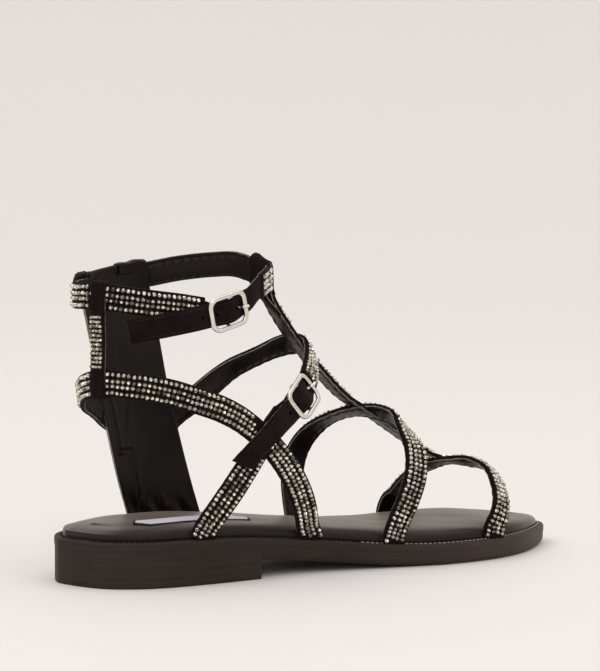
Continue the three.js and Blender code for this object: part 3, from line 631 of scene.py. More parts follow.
# %% Rings of the sole from a profile
def sole_rings(profile, place, crown=0.0, pulls=(0.8, 0.6, 0.4, 0.2, 0.0)):
    """A ring for each (inset, height) of the profile, at z = place(x, height). The first and
    last rings are then pulled towards the middle line until they close, the last crowned."""
    flat = [inset(SOLE_EDGE, distance) for distance, _ in profile]
    rings = [np.column_stack([ring, place(ring[:, 0], height)])
             for ring, (_, height) in zip(flat, profile)]

    def pulled(ring, height, amount):
        """The ring moved to amount times its distance from the middle line."""
        middle = (ring + ring[::-1]) / 2
        spot = middle + (ring - middle) * amount
        return np.column_stack([spot, place(spot[:, 0], height)])

    start = [pulled(flat[0], profile[0][1], amount) for amount in pulls[::-1]]
    end = [pulled(flat[-1], profile[-1][1] + crown * (1 - amount**2), amount) for amount in pulls]
    return np.array(start + rings + end)


SLAB_SIDE = [(12, 0), (4, 0), (2.8, 0.08), (1.9, 0.35), (1.2, 0.8), (0.7, 1.4), (0.4, 2.1),
             (0.25, 2.8), (0.25, 4.5), (0.24, 5.4), (0.30, 5.62), (0.30, 5.72), (0.14, 5.95),
             (0.0, 6.5), (0, 7.6), (0.0, 8.5), (0.06, 8.95), (0.28, 9.3), (0.62, 9.4),
             (1.05, 9.32), (1.3, 9.02), (1.55, 8.98), (1.8, 9.2), (2.2, 9.3), (3.2, 9.28),
             (4.2, 9.22), (5.2, 9.2), (12, 9.2)]       # inset and height, mm, from the underside up


def make_slab():
    """Profile heights scaled by the slab's real thickness there; the ledge is rough welt."""
    rings = sole_rings(SLAB_SIDE, lambda x, height: slab_bottom(x)
                       + height * (rim_top(x) - slab_bottom(x)) / SLAB)
    skin = ring_faces(len(rings), rings.shape[1])
    inner_ledge = 5 + next(i for i, (d, z) in enumerate(SLAB_SIDE) if z > 9 and d >= 1.8)
    which = np.where(np.arange(len(skin)) // rings.shape[1] >= inner_ledge, 1, 0)
    slab = mesh_object("outsole_slab", rings.reshape(-1, 3), skin.ravel(), np.full(len(skin), 4),
                       [RUBBER, WELT], which)
    return close_up(slab, 50)


slab = keep(make_slab(), "outsole")
print("slab faces:", len(slab.data.polygons))


# %% Heel block
def make_heel():
    """The heel part of the outline, closed by a straight front, at rising levels."""
    edge = inset(EDGE[:, :2], 0.27)[::3]
    keep_back = edge[edge[:, 0] < HEEL_BREAST]
    split = np.argmax(np.linalg.norm(np.diff(keep_back, axis=0), axis=1)) + 1
    back_line = np.vstack([keep_back[split:], keep_back[:split]])
    across = np.linspace(0, 1, 24)[:, None]
    start, end = (HEEL_BREAST, back_line[-1, 1]), (HEEL_BREAST, back_line[0, 1])
    front = np.array(start) * (1 - across) + np.array(end) * across
    outline = np.vstack([back_line, front])
    levels = [(8, 0.0), (0.55, 0.0), (0.12, 0.16), (0, 0.5), (0, 3.0), (0.05, 3.12), (0, 3.24),
              (0, 6.1), (0.05, 6.22), (0, 6.34), (0, 8.2), (0, 9.2)]
    rings = []
    for depth, height in levels:
        centre = outline.mean(0)
        ring = inset(outline, depth) if depth < 5 else centre + (outline - centre) * 0.6
        rings.append(np.column_stack([ring, np.minimum(height, top_height(ring[:, 0]) - 6)]))
    rings.append(np.column_stack([outline, top_height(outline[:, 0]) - 5.5]))
    return loft("heel_block", np.array(rings), [RUBBER], crease=35)


heel = keep(make_heel())
print("heel block from x", round(min(v.co.x for v in heel.data.vertices), 4))


# %% [markdown]
# ## Footbed
# A thin foam pad wrapped in soft leather. Its edge rolls over and its top is almost level, with
# a slight crown. It is modelled directly as a crowned form whose edge dips a little where each
# strap presses on it, because the pad is only 6 mm thick.

# %% Footbed height at any point
FOOTBED_SIDE = [(12, -0.3), (4.2, -0.3), (3.75, 0.1), (3.6, 0.8), (3.6, 1.6), (3.75, 2.5),
                (4.05, 3.3), (4.6, 4.05), (5.5, 4.7), (7.0, 5.2), (9.5, 5.55), (12.5, 5.75),
                (16, 5.85)]
PAD_SETTLE = 0.12                      # mm that the whole top sinks
STRAP_FEET = {"rising": (50.6, -1, 0.64), "heel_wrap": (105.4, -1, -0.44),
              "midfoot_outer": (143.4, -1, 0.34), "midfoot_inner": (127.7, 1, 0.08),
              "toe_outer": (195.8, -1, 0.26), "toe_inner": (183.2, 1, -0.06)}


def bell(x, y, centre, reach):
    """One at the centre, falling as e to the minus squared distance counted in reaches."""
    return np.exp(-((x - centre[0]) / reach[0]) ** 2 - ((y - centre[1]) / reach[1]) ** 2)


def heel_dip(x, y):
    """The hollow that the heel rests in, half a millimetre deep."""
    return 0.5 * bell(x, y, (38, 0), (20, 17))


def pad_place(x, height):
    """The pad lies on the rim's top and is pressed thinner towards the toe."""
    thin = 1 - 0.44 * smoothstep((x - 200) / 50)
    return rim_top(x) + GAP + height * thin


def footbed_height(x, y):
    """The pad's profile height at the point's distance from the sole's edge."""
    spots = np.column_stack([np.ravel(x), np.ravel(y)])
    away = np.min(np.linalg.norm(spots[:, None] - EDGE[None, ::4, :2], axis=-1), axis=1)
    side = np.array(FOOTBED_SIDE[3:])
    rise = np.interp(away, side[:, 0], side[:, 1])
    return pad_place(spots[:, 0], rise).reshape(np.shape(x))


def pressed(points):
    """Soft dents in the pad's edge: a bell curve round each strap's foot, a little inwards."""
    depth = np.zeros(len(points))
    for x, side, _ in STRAP_FEET.values():
        centre = (x, edge_at(x, side) - side * 5.5)
        depth += 0.35 * bell(points[:, 0], points[:, 1], centre, (7.5, 4.5))
    return depth


def make_footbed():
    """Rings of the pad's profile, its top lowered where a slow ripple or a strap dents it."""
    rings = sole_rings(FOOTBED_SIDE, pad_place, crown=0.35)
    flat = rings.reshape(-1, 3)
    x, y, z = flat.T
    upper_part = smoothstep((z - top_height(x) - 3.0) / 2.0)
    ripple = 0.10 * np.sin(x * 0.21 + y * 0.07) * np.sin(y * 0.16 + 1.0)
    dips = 0.5 * bell(x, y, (178, 2), (26, 20)) + heel_dip(x, y)
    heel_round = 1.5 * np.exp(-((x - 2) / 24) ** 2)
    flat[:, 2] -= upper_part * (ripple + PAD_SETTLE + pressed(flat) + dips + heel_round)
    skin = ring_faces(len(rings), rings.shape[1])
    pad = mesh_object("footbed_cover", flat, skin.ravel(), np.full(len(skin), 4),
                      [FOOTBED_LEATHER])
    return close_up(pad, 60)


footbed = keep(make_footbed(), "footbed")
print("footbed faces:", len(footbed.data.polygons))

# %% [markdown]
# A maker sews a woven label to the heel of the footbed. Here it stays blank: a pale tape with
# pointed ends and a dark outline, laid on the pad's own height.

# %% Blank heel label
LABEL_MIDDLE, LABEL_TURN = (56.5, -9.0), math.radians(4)
LABEL_LENGTH, LABEL_WIDTH, LABEL_POINT = 48.0, 12.5, 4.0


def make_label_patch(name, grow, lift, material):
    """A patch with pointed ends: half width shrinks to nothing over the last few mm."""
    u, v = np.meshgrid(np.linspace(-1, 1, 41), np.linspace(-1, 1, 13), indexing="ij")
    half_length, half_width = LABEL_LENGTH / 2 + grow, LABEL_WIDTH / 2 + grow
    x = (half_length + LABEL_POINT * (1 - np.abs(v))) * u
    y = half_width * v
    turned_x = LABEL_MIDDLE[0] + x * math.cos(LABEL_TURN) - y * math.sin(LABEL_TURN)
    turned_y = LABEL_MIDDLE[1] + x * math.sin(LABEL_TURN) + y * math.cos(LABEL_TURN)
    dip = PAD_SETTLE + heel_dip(turned_x, turned_y)
    height = footbed_height(turned_x, turned_y) - dip + 0.35
    top = np.stack([turned_x, turned_y, height + lift], axis=-1)
    under = top - (0, 0, 0.9)
    rings = np.concatenate([top, under[:, ::-1]], axis=1)
    return keep(loft(name, rings, [material], crease=50))


make_label_patch("label_border", 0.9, 0.10, THREAD)
make_label_patch("label", 0.0, 0.22, LABEL)


# %% [markdown]
# ## Straps
# A strap is a flat band: suede outside, smooth lining inside, and a painted cut edge between.
# It wraps round a foot, so at each place its face looks away from the middle of the foot. The
# band is a small profile carried along a smooth line, turned to that face. Here are the line
# through the foot, and a helper that works out where a band's face and sides point.

# %% Directions along a strap
CORE = np.array([(50, -1, 140), (52, -1, 76), (76, 0, 50), (150, 1, 28), (222, 4, 18)], float)
BAND_WIDTH, BAND_THICK = 11.0, 2.2     # mm, a stoned band
BILLET_WIDTH, BILLET_THICK = 10.1, 1.6  # mm, the plain end that goes through a buckle


class Run:
    """A band's run: middle points, forward, face and side directions, as arrays."""

    def __init__(self, middle, forward, face):
        """The face loses its part along the band; side is face cross forward."""
        self.middle, self.forward = middle, forward
        self.face = unit(face - forward * (face * forward).sum(1, keepdims=True))
        self.side = np.cross(self.face, forward)

    def part(self, chosen):
        """The chosen stretch as a run of its own."""
        return Run(self.middle[chosen], self.forward[chosen], self.face[chosen])


def outward(points):
    """From the nearest point of the core line to each point, never downwards, and straight
    sideways where a band goes down into the sole."""
    start, end = CORE[:-1], CORE[1:]
    span = end - start
    along = ((points[:, None] - start) * span).sum(-1) / (span**2).sum(-1)
    away = points[:, None] - (start + np.clip(along, 0, 1)[..., None] * span)
    nearest = np.argmin(np.linalg.norm(away, axis=-1), axis=1)
    away = away[np.arange(len(points)), nearest]
    away[:, 2] = np.maximum(away[:, 2], 0)
    level = smoothstep((18 - (points[:, 2] - top_height(points[:, 0]))) / 10)[:, None]
    sideways = np.sign(points[:, 1:2]) * (0, 1, 0)
    return unit(unit(away) * (1 - level) + sideways * level)


def softened(vectors, reach):
    """A running mean over 2 reach + 1 rows, the ends held."""
    padded = np.pad(vectors, ((reach, reach), (0, 0)), mode="edge")
    sums = np.cumsum(np.vstack([np.zeros(3), padded]), axis=0)
    return unit(sums[2 * reach + 1:] - sums[:-2 * reach - 1])


def run_of(rows, step=1.0, across=None, soft=9, hump=None):
    """Middle line through the rows. A fourth column lifts the band off the one below it, and a
    fifth turns its face, in degrees, towards its side direction."""
    path = through(rows, step)
    middle = path[:, :3]
    forward = unit(np.gradient(middle, axis=0))
    face = np.cross(forward, across) if across is not None else softened(outward(middle), soft)
    run = Run(middle, forward, face)
    if path.shape[1] > 4:
        twist = np.radians(path[:, 4:])
        run = Run(middle, forward, run.face * np.cos(twist) + run.side * np.sin(twist))
    lift = path[:, 3] if path.shape[1] > 3 else np.zeros(len(path))
    if hump is not None:
        lift = lift + hump(middle)
    run.middle = middle + run.face * lift[:, None]
    return run


def foot_rows(name, columns=4):
    """Where a strap goes down between pad and rim: three points on its wall, leaning."""
    x, side, slant = STRAP_FEET[name]
    floor = top_height(x) + 1.5
    wall = edge_at(x, side) - side * 2.45
    z = floor + np.array([3.6, 1.6, -1.6])
    rows = np.column_stack([x + (z - floor) * slant, np.full(3, wall), z, np.zeros((3, 2))])
    return rows[:, :columns]


def sampled(values, spots):
    """Rows of an array read at fractional row numbers, by straight lines between rows."""
    rows = np.arange(len(values))
    return np.stack([np.interp(spots, rows, column) for column in values.T], axis=1)


# %% The band's profile
def band_profile(width, thick, lined=True):
    """A flat loop: crowned outer face, cut edge, lining with a sewn groove near each side.
    Returns side and out offsets and a finish number (0 suede, 1 edge, 2 lining) per stretch."""
    h, t = width / 2, thick / 2
    groove = h - 1.5
    right = [(0, t, 0), (h * 0.5, t - 0.01, 0), (h - 0.5, t - 0.07, 0), (h - 0.12, t - 0.3, 0),
             (h, t - 0.6, 0), (h, -t + 0.5, 1), (h - 0.16, -t + 0.08, 2), (h - 0.5, -t, 2),
             (groove + 0.3, -t, 2), (groove, -t + 0.26, 2), (groove - 0.3, -t, 2),
             (groove * 0.45, -t, 2)]
    left = [(-s, o, 0) for s, o, _ in right[:0:-1]]
    loop = np.array(right + [(0, -t, 2)] + left, float)
    finish = loop[:, 2].astype(int)
    finish[len(right):] = finish[:len(right)][::-1]
    if not lined:
        finish[finish == 2] = 0
    return loop[:, 0], loop[:, 1], finish


def crimped(run, side, out):
    """Slow soft creases of a tenth of a millimetre, and short wrinkles in the lining."""
    at = np.arange(len(run.middle))[:, None]
    seed = run.middle[0].sum()
    wave = 0.09 * np.sin(at * 0.31 + seed) * np.sin(at * 0.083 + 2 * seed)
    short = np.sin(at * 1.35 + 0.8 * side + seed) * np.sin(at * 0.21 + 0.5 * side + 3 * seed)
    return out[None] + wave + np.where(out < -0.5, 0.17, 0.0) * short


def band(name, run, width=BAND_WIDTH, thick=BAND_THICK, lined=True, slant=0.0):
    """The band profile carried along the run, its two ends closed. A slant moves each side of
    the last 7 mm along the band by slant times its distance from the middle."""
    side, out, finish = band_profile(width, thick, lined)
    count = len(run.middle)
    late = smoothstep((np.arange(count) - count + 8) / 7)[:, None, None]
    rings = (run.middle[:, None] + run.side[:, None] * side[None, :, None]
             + run.face[:, None] * crimped(run, side, out)[..., None]
             + run.forward[:, None] * late * slant * side[None, :, None])
    made = loft(name, rings, [SUEDE, CUT_EDGE, LINING], finish)
    return keep(made)


# %% [markdown]
# ## Small stones
# The bands carry four rows of small stones. One stone is a low dome with eight sides: a ring of
# upright facets, a ring of triangles turned half a step, and a flat table. All stones of a band
# are made at once: the one stone is turned to the band's face at every place, and the whole
# array becomes a single mesh. Each facet also gets its own number for its sparkle.

# %% One stone, and rows of them on a band
STONE_SIDES = 8
STONE_RADIUS, STONE_HEIGHT = 0.97, 1.0
ROW_OFFSETS = np.array([-3.75, -1.1, 1.1, 3.75])
STONE_PITCH, STONE_SEAT = 2.1, 1.08     # mm apart along the band, and above its middle
chance = np.random.default_rng(7)


def stone_shape():
    """Points and faces of one stone: side quads, crown triangles and an eight-sided table."""
    turn = np.arange(STONE_SIDES) * 2 * np.pi / STONE_SIDES
    half = turn + np.pi / STONE_SIDES
    ring = lambda a, r, z: np.column_stack([r * np.cos(a), r * np.sin(a), np.full(len(a), z)])
    points = np.vstack([ring(turn, 1.0, -0.1), ring(turn, 1.0, 0.3), ring(half, 0.56, 1.0)])
    i = np.arange(STONE_SIDES)
    j = (i + 1) % STONE_SIDES
    n = STONE_SIDES
    quads = np.column_stack([i, j, j + n, i + n])
    lower = np.column_stack([i + n, j + n, i + 2 * n])
    upper = np.column_stack([j + n, j + 2 * n, i + 2 * n])
    corners = np.concatenate([quads.ravel(), lower.ravel(), upper.ravel(), i + 2 * n])
    sizes = np.concatenate([np.full(n, 4), np.full(2 * n, 3), [n]])
    return points, corners, sizes


def stones(name, run, offsets=ROW_OFFSETS, lift=STONE_SEAT, pitch=STONE_PITCH,
           radius=STONE_RADIUS, where=None):
    """Stones at even steps along a run (one point per mm) and at each offset across it."""
    middle, offsets = run.middle, np.asarray(offsets)
    spots = np.arange(0.8, len(middle) - 1.3, pitch)
    centre, forward, side, face = (sampled(values, spots) for values in
                                   (middle, run.forward, run.side, run.face))
    count = len(offsets)
    jitter = chance.normal(0, 0.07, (len(spots), count, 2))
    place = (centre[:, None] + side[:, None] * (offsets[None, :, None] + jitter[..., :1])
             + forward[:, None] * jitter[..., 1:] + face[:, None] * lift)
    chosen = np.ones(place.shape[:2], bool) if where is None else where(place)
    place = place[chosen]
    basis = np.stack(np.broadcast_arrays(forward[:, None], side[:, None], face[:, None]), axis=-1)
    basis = np.broadcast_to(basis, (len(spots), count, 3, 3))[chosen]
    shape, corners, sizes = stone_shape()
    total = len(place)
    angle = chance.uniform(0, 2 * np.pi, total)
    lean = chance.normal(0, 0.10, (total, 2))
    spin = np.zeros((total, 3, 3))
    spin[:, 0, 0], spin[:, 0, 1] = np.cos(angle), -np.sin(angle)
    spin[:, 1, 0], spin[:, 1, 1] = np.sin(angle), np.cos(angle)
    spin[:, 2, :2], spin[:, 2, 2] = lean, 1.0
    size = np.array([radius, radius, STONE_HEIGHT]) * chance.uniform(0.93, 1.05, (total, 1))
    local = np.einsum("nij,nkj->nki", spin, shape[None] * size[:, None])
    points = place[:, None] + np.einsum("nij,nkj->nki", basis, local)
    all_corners = (corners[None] + np.arange(total)[:, None] * len(shape)).ravel()
    # painted glints: one number per stone and one per facet set how bright each facet's painted
    # reflection is
    own = chance.beta(1.3, 1.1, (total, 1))
    facets = chance.beta(0.8, 0.9, (total, len(sizes)))
    painted_glints = np.clip(0.45 * own + 0.55 * facets, 0, 1).ravel()
    made = mesh_object(name, points.reshape(-1, 3), all_corners, np.tile(sizes, total), [STONE],
                       painted_glints=painted_glints, flat=True)
    made["stones"] = total
    return keep(made)


# %% [markdown]
# ## Buckles
# Each buckle is a satin frame with rounded corners, a round bar set lower across its middle, and
# a prong that swings on the bar and rests on the front edge. The plain strap end comes up over
# the bar. The frame is a ring: at every place round it, a soft-cornered profile spans from the
# window to the outer edge.

# %% Where the two buckles sit
ANKLE_FRONT = [(46, 28.6, 126, 0), (55, 28.6, 127.3, 0), (68, 24.9, 129.8, 0),
               (82, 18.8, 131.4, 0), (88.6, 12.6, 131.6, 0), (93.2, 6.6, 129.6, 0),
               (95.3, 0.4, 127.4, 0), (94.9, -5.4, 126, 0), (92, -10.8, 125.5, 0),
               (88, -15.4, 124.8, 0),
               (81, -21, 122.2, 0.2), (73.5, -25, 118, 0.6), (63.2, -27.8, 114.2, 0.9),
               (52, -29.1, 111.9, 1.6), (34.9, -28.2, 108.8, 2.4), (18.4, -24.2, 105.8, 2.9)]
INSTEP_STRAP = [(54, 30.4, 52, 0, 0), (60, 30, 56.9, 0, 0), (67, 29.2, 63.4, 0, 0),
                (83.7, 28.8, 76.2, 0, 0), (95.5, 26.6, 84.9, 0, 0), (106.6, 19, 91.3, 0.3, 10),
                (114, 9, 95.4, 1.2, 32), (116.4, 0, 94.4, 1.9, 42), (113.4, -9, 88, 1.2, 40),
                (107.6, -17.4, 81.2, 0.8, 32), (100.6, -23.8, 75.4, 0.8, 23),
                (92.2, -28.8, 70.4, 1.5, 19), (83.6, -32, 65.8, 2.7, 14),
                (74.5, -33.6, 58.9, 3.2, 11), (65, -34, 50.2, 3.0, 10)]
BUCKLE_LENGTH, BUCKLE_HEIGHT, BUCKLE_BAR, FRONT_BAR = 20.4, 15.2, 1.9, 2.5
BUCKLE_THICK, BUCKLE_LIFT, BILLET_HUMP = 1.6, 1.95, 1.9
BAR_DROP, BAR_RADIUS, PRONG_RADIUS = 1.3, 0.7, 0.75


class Buckle:
    """The buckle's middle on its strap, and directions along it, across it and out of it."""

    def __init__(self, rows, near):
        """The buckle sits at the strap's nearest point to a place given in mm."""
        run = run_of(rows, soft=0)
        index = np.argmin(np.linalg.norm(run.middle - near, axis=1))
        self.middle, self.out = run.middle[index], run.face[index]
        self.along = -run.forward[index]
        self.across = np.cross(self.out, self.along)

    def place(self, points):
        """Points given as (along, across, out) in the frame of the shoe."""
        points = np.asarray(points, float)
        return (self.middle + points[..., :1] * self.along + points[..., 1:2] * self.across
                + points[..., 2:] * self.out)

    def hump(self, middle):
        """The strap end rises over the bar as a squared cosine of the distance along."""
        away = (middle - self.middle) @ self.along
        reach = BUCKLE_LENGTH / 2 - 1.5
        rise = BILLET_HUMP * np.cos(np.pi / 2 * away / reach) ** 2
        return np.where(np.abs(away) > reach, 0, rise)


ankle_buckle = Buckle(ANKLE_FRONT, (61.9, -28.7, 114))
instep_buckle = Buckle(INSTEP_STRAP, (100.2, -24.8, 76.8))


# %% Frames, bars and prongs
def rounded_rectangle(half_length, half_height, radius, shift=0.0, count=14):
    """Four quarter turns of the radius round the four corner centres, in order."""
    turn = np.linspace(0, np.pi / 2, count)
    signs = np.array([(1, 1), (-1, 1), (-1, -1), (1, -1)])
    angle = (turn[None] + np.arange(4)[:, None] * np.pi / 2).ravel()
    centre = np.repeat(signs * (half_length - radius, half_height - radius), count, axis=0)
    return centre + radius * np.column_stack([np.cos(angle), np.sin(angle)]) + (shift, 0)


def rod(points, radius, sides=14, side_way=None):
    """A round section carried along points; radius may vary, and side_way fixes one direction."""
    points = np.asarray(points, float)
    forward = unit(np.gradient(points, axis=0))
    first = np.broadcast_to(np.asarray(side_way, float), points.shape)
    second = np.cross(forward, first)
    angle = np.arange(sides) * 2 * np.pi / sides
    radius = np.broadcast_to(radius, (len(points),))[:, None, None]
    return points[:, None] + radius * (first[:, None] * np.cos(angle)[None, :, None]
                                       + second[:, None] * np.sin(angle)[None, :, None])


def make_frame(name, buckle, node):
    """Outer and inner rounded rectangles, joined by a squared ellipse of thickness."""
    outer = rounded_rectangle(BUCKLE_LENGTH / 2, BUCKLE_HEIGHT / 2, 4.6)
    window_length = (BUCKLE_LENGTH - BUCKLE_BAR - FRONT_BAR) / 2
    inner = rounded_rectangle(window_length, BUCKLE_HEIGHT / 2 - BUCKLE_BAR, 2.9,
                              (BUCKLE_BAR - FRONT_BAR) / 2)
    angle = np.arange(16) * 2 * np.pi / 16
    squared = lambda wave: np.sign(wave) * np.abs(wave) ** 0.75
    reach, rise = squared(np.cos(angle)), squared(np.sin(angle)) * BUCKLE_THICK / 2
    middle, half = (outer + inner) / 2, (outer - inner) / 2
    flat = middle[:, None] + half[:, None] * reach[None, :, None]
    bow = -0.012 * flat[..., :1] ** 2 + 0.35
    rings = np.concatenate([flat, rise[None, :, None] + BUCKLE_LIFT + bow], axis=-1)
    ring = loft(name, buckle.place(rings), [SILVER], closed=True, crease=60)
    return keep(ring, node)


def make_bar(name, buckle):
    """A round bar below the frame, bent up at both ends into the frame's sides."""
    end = BUCKLE_HEIGHT / 2 - BUCKLE_BAR / 2
    path = through([(0, -end, BUCKLE_LIFT), (0, -end + 0.1, 0.6), (0, -end + 0.9, -BAR_DROP),
                    (0, end - 0.9, -BAR_DROP), (0, end - 0.1, 0.6), (0, end, BUCKLE_LIFT)], 0.4)
    return keep(loft(name, buckle.place(rod(path, BAR_RADIUS, side_way=(1, 0, 0))), [SILVER]))


def make_prong(name, buckle, node):
    """A rod that turns round the bar, comes up through the strap and lies on the front edge."""
    seat = BUCKLE_LIFT + BUCKLE_THICK / 2 + PRONG_RADIUS + 0.12
    turn = np.radians(np.arange(200, -1, -25))
    radius = BAR_RADIUS + PRONG_RADIUS + 0.15
    loop = np.column_stack([radius * np.cos(turn), np.zeros(len(turn)),
                            radius * np.sin(turn) - BAR_DROP])
    stem = [(3.2, 0, -0.9), (5.2, 0, -0.1), (6.5, 0, 1.5), (7.3, 0, seat - 0.3),
            (8.3, 0, seat), (9.5, 0, seat - 0.1)]
    path = through(np.vstack([loop, stem]), 0.35)
    left = np.arange(len(path))[::-1] * 0.35
    width = PRONG_RADIUS * np.sqrt(np.clip(left / 0.8, 0.02, 1))
    tongue = loft(name, buckle.place(rod(path, width, side_way=(0, 1, 0))), [SILVER], crease=60)
    return keep(tongue, node)


for name, buckle in (("ankle_buckle", ankle_buckle), ("instep_buckle", instep_buckle)):
    frame_ring = make_frame(f"{name}_ring", buckle, f"{name}_frame")
    make_bar(f"{name}_bar", buckle)
    make_prong(f"{name}_tongue", buckle, f"{name}_prong")
    low_cad, high_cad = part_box(f"{name}_frame")
    spots = np.array([v.co[:] for v in frame_ring.data.vertices])
    print(name, "off the CAD frame by mm:", np.round(((spots.min(0) + spots.max(0)) / 2
          - (np.array(low_cad) + np.array(high_cad)) / 2) * 1000, 2))

# %% [markdown]
# ## Ankle: two bands that meet at a buckle
# The front band starts on the inner panel, turns round the front of the ankle and ends as a
# plain suede end through the buckle. The rear band comes round the heel and carries the buckle.
# Both are stoned where nothing covers them. Where a plain end lies on a stoned band, or a fold
# covers it, the stones are left out, as a maker would.

# %% Stitches: one small capsule repeated along a line
def stitches(name, points, out, pitch=2.2, length=1.5, radius=0.22, material=THREAD):
    """Capsules of five rings by six points at even steps along a line, half sunk in it."""
    line = through(points, 0.25)
    face = unit(sampled(np.asarray(out, float), np.linspace(0, len(out) - 1, len(line))))
    ways = unit(np.gradient(line, axis=0))
    spots = np.arange(pitch / 2, (len(line) - 1) * 0.25, pitch) / 0.25
    centre, forward, up_way = (sampled(line, spots), unit(sampled(ways, spots)),
                               unit(sampled(face, spots)))
    side = np.cross(up_way, forward)
    along = np.array([-0.5, -0.36, 0, 0.36, 0.5]) * length
    thick = np.array([0.25, 0.85, 1.0, 0.85, 0.25]) * radius
    angle = np.arange(6) * np.pi / 3
    local = np.stack([np.repeat(along[:, None], 6, 1), thick[:, None] * np.cos(angle),
                      thick[:, None] * np.sin(angle) * 0.8], axis=-1).reshape(-1, 3)
    basis = np.stack([forward, side, up_way], axis=-1)
    points = centre[:, None] + np.einsum("nij,kj->nki", basis, local)
    quads = ring_faces(5, 6).ravel()
    shape = np.concatenate([quads, np.arange(6)[::-1], 24 + np.arange(6)])
    sizes = np.concatenate([np.full(24, 4), [6, 6]])
    count = len(centre)
    corners = (shape[None] + np.arange(count)[:, None] * 30).ravel()
    made = mesh_object(name, points.reshape(-1, 3), corners, np.tile(sizes, count), [material])
    return keep(close_up(made, 80))


def edge_stitches(name, run, width, thick, inside=1.3, **values):
    """A row of stitches along each side of a band, on its outer face."""
    for tag, side in (("a", -1), ("b", 1)):
        line = run.middle + run.side * side * (width / 2 - inside) + run.face * (thick / 2 + 0.03)
        stitches(f"{name}_{tag}", line[::3], run.face[::3], **values)


# %% Bands of the ankle
ANKLE_BACK = [(24.5, 21.6, 121), (18.3, 16.2, 121), (10.6, 8.2, 120.6), (6.8, -0.6, 120.3),
              (7.4, -7.4, 120.4), (10.8, -13.8, 120.4), (17.8, -19.6, 119.3), (28, -24.8, 117.7),
              (40.8, -27.8, 116), (51, -28.5, 114.3)]


HOLE_PITCH, HOLE_RADIUS = 6.5, 0.75    # mm


def holes(name, run, buckle, thick):
    """Punched holes, one and two pitches behind the buckle's bar and one before it: each is a
    dark disc of painted shade set flush, a spine of four points times a radius that shrinks
    to the middle."""
    along = (run.middle - buckle.middle) @ buckle.along
    discs = []
    for pitches in (-2, -1, 0.55):
        index = int(np.argmin(np.abs(along - pitches * HOLE_PITCH)))
        heights = np.array([-0.4, 0.02, 0.05, 0.05])[:, None] + thick / 2
        spine = run.middle[index] + run.face[index] * heights
        wide = np.array([HOLE_RADIUS, HOLE_RADIUS, HOLE_RADIUS * 0.85, 0.01])
        turn = (np.arange(12) * np.pi / 6)[:, None]
        across = run.forward[index] * np.cos(turn) + run.side[index] * np.sin(turn)
        discs.append(spine[:, None] + across[None] * wide[:, None, None])
    quads = np.vstack([ring_faces(4, 12) + 48 * number for number in range(len(discs))])
    made = mesh_object(name, np.array(discs).reshape(-1, 3), quads.ravel(),
                       np.full(len(quads), 4), [HOLE_SHADE])
    keep(close_up(made))


def billet_parts(name, rows, buckle, plain_from, slant=0.0):
    """A buckled strap in two bands: the thick stoned part, and the thin plain end that starts
    at y = plain_from on the outer side."""
    run = run_of(rows, soft=14, hump=buckle.hump)
    plain = run.middle[:, 1] < plain_from
    first = int(np.argmax(plain))
    thick_run, thin_run = run.part(slice(0, first + 2)), run.part(slice(first - 2, None))
    band(name, thick_run)
    band(f"{name}_end", thin_run, BILLET_WIDTH, BILLET_THICK, slant=slant)
    holes(f"{name}_holes", thin_run, buckle, BILLET_THICK)
    edge_stitches(f"{name}_end_stitches", thin_run.part(slice(6, -2)), BILLET_WIDTH,
                  BILLET_THICK, pitch=1.8, length=1.1, radius=0.16)
    return thick_run


ankle_front = billet_parts("ankle_strap", ANKLE_FRONT, ankle_buckle, -18.5)
stones("ankle_strap_stones", ankle_front,
       where=lambda p: (p[..., 0] > 57) & ((p[..., 1] > 6.8) | (p[..., 1] < -5.8)))
ankle_back = run_of(ANKLE_BACK)
band("ankle_rear_strap", ankle_back)
KEEPER_CLEAR = 3.3                     # mm from a keeper's middle to the nearest stone


def clear_of_keeper(p, x, y):
    """True where a point is farther than the clearance from the keeper, seen from above."""
    return np.hypot(p[..., 0] - x, p[..., 1] - y) > KEEPER_CLEAR


def above_sole(p):
    """True where a point is over 1.2 mm above the slab's top, so no stone is buried."""
    return p[..., 2] > top_height(p[..., 0]) + 1.2


stones("ankle_rear_stones", ankle_back,
       where=lambda p: (p[..., 0] < 48.6) & clear_of_keeper(p, 11.0, -14))


# %% The strap ends that carry the buckles
def carrier(name, buckle, run):
    """A thin plain strip under the bar, round it and back on itself."""
    radius = BAR_RADIUS + 0.85
    turn = np.radians(np.arange(-90, 111, 20))
    loop = np.column_stack([radius * np.cos(turn), np.zeros(len(turn)),
                            radius * np.sin(turn) - BAR_DROP])
    directions = np.stack([buckle.along, buckle.across, buckle.out])
    start = directions @ (run.middle[-1] - buckle.middle)
    rows = np.vstack([[start[0] - 2, start[1], start[2] - 0.2], [-7, 0, -BAR_DROP - radius + 0.1],
                      [-3.5, 0, -BAR_DROP - radius], loop])
    path = through(buckle.place(rows), 0.5)
    forward = unit(np.gradient(path, axis=0))
    face = np.cross(forward, np.broadcast_to(-buckle.across, forward.shape))
    return band(name, Run(path, forward, -face), 10.4, 1.2, lined=False)


carrier("ankle_carrier", ankle_buckle, ankle_back)

# %% [markdown]
# ## Heel: the wrap, the upright strip and its keepers
# The wrap comes from the panel round the heel and runs down to the outer side of the arch. A
# narrow upright strip joins it to the ankle band; its plain ends fold round both bands as
# keepers.

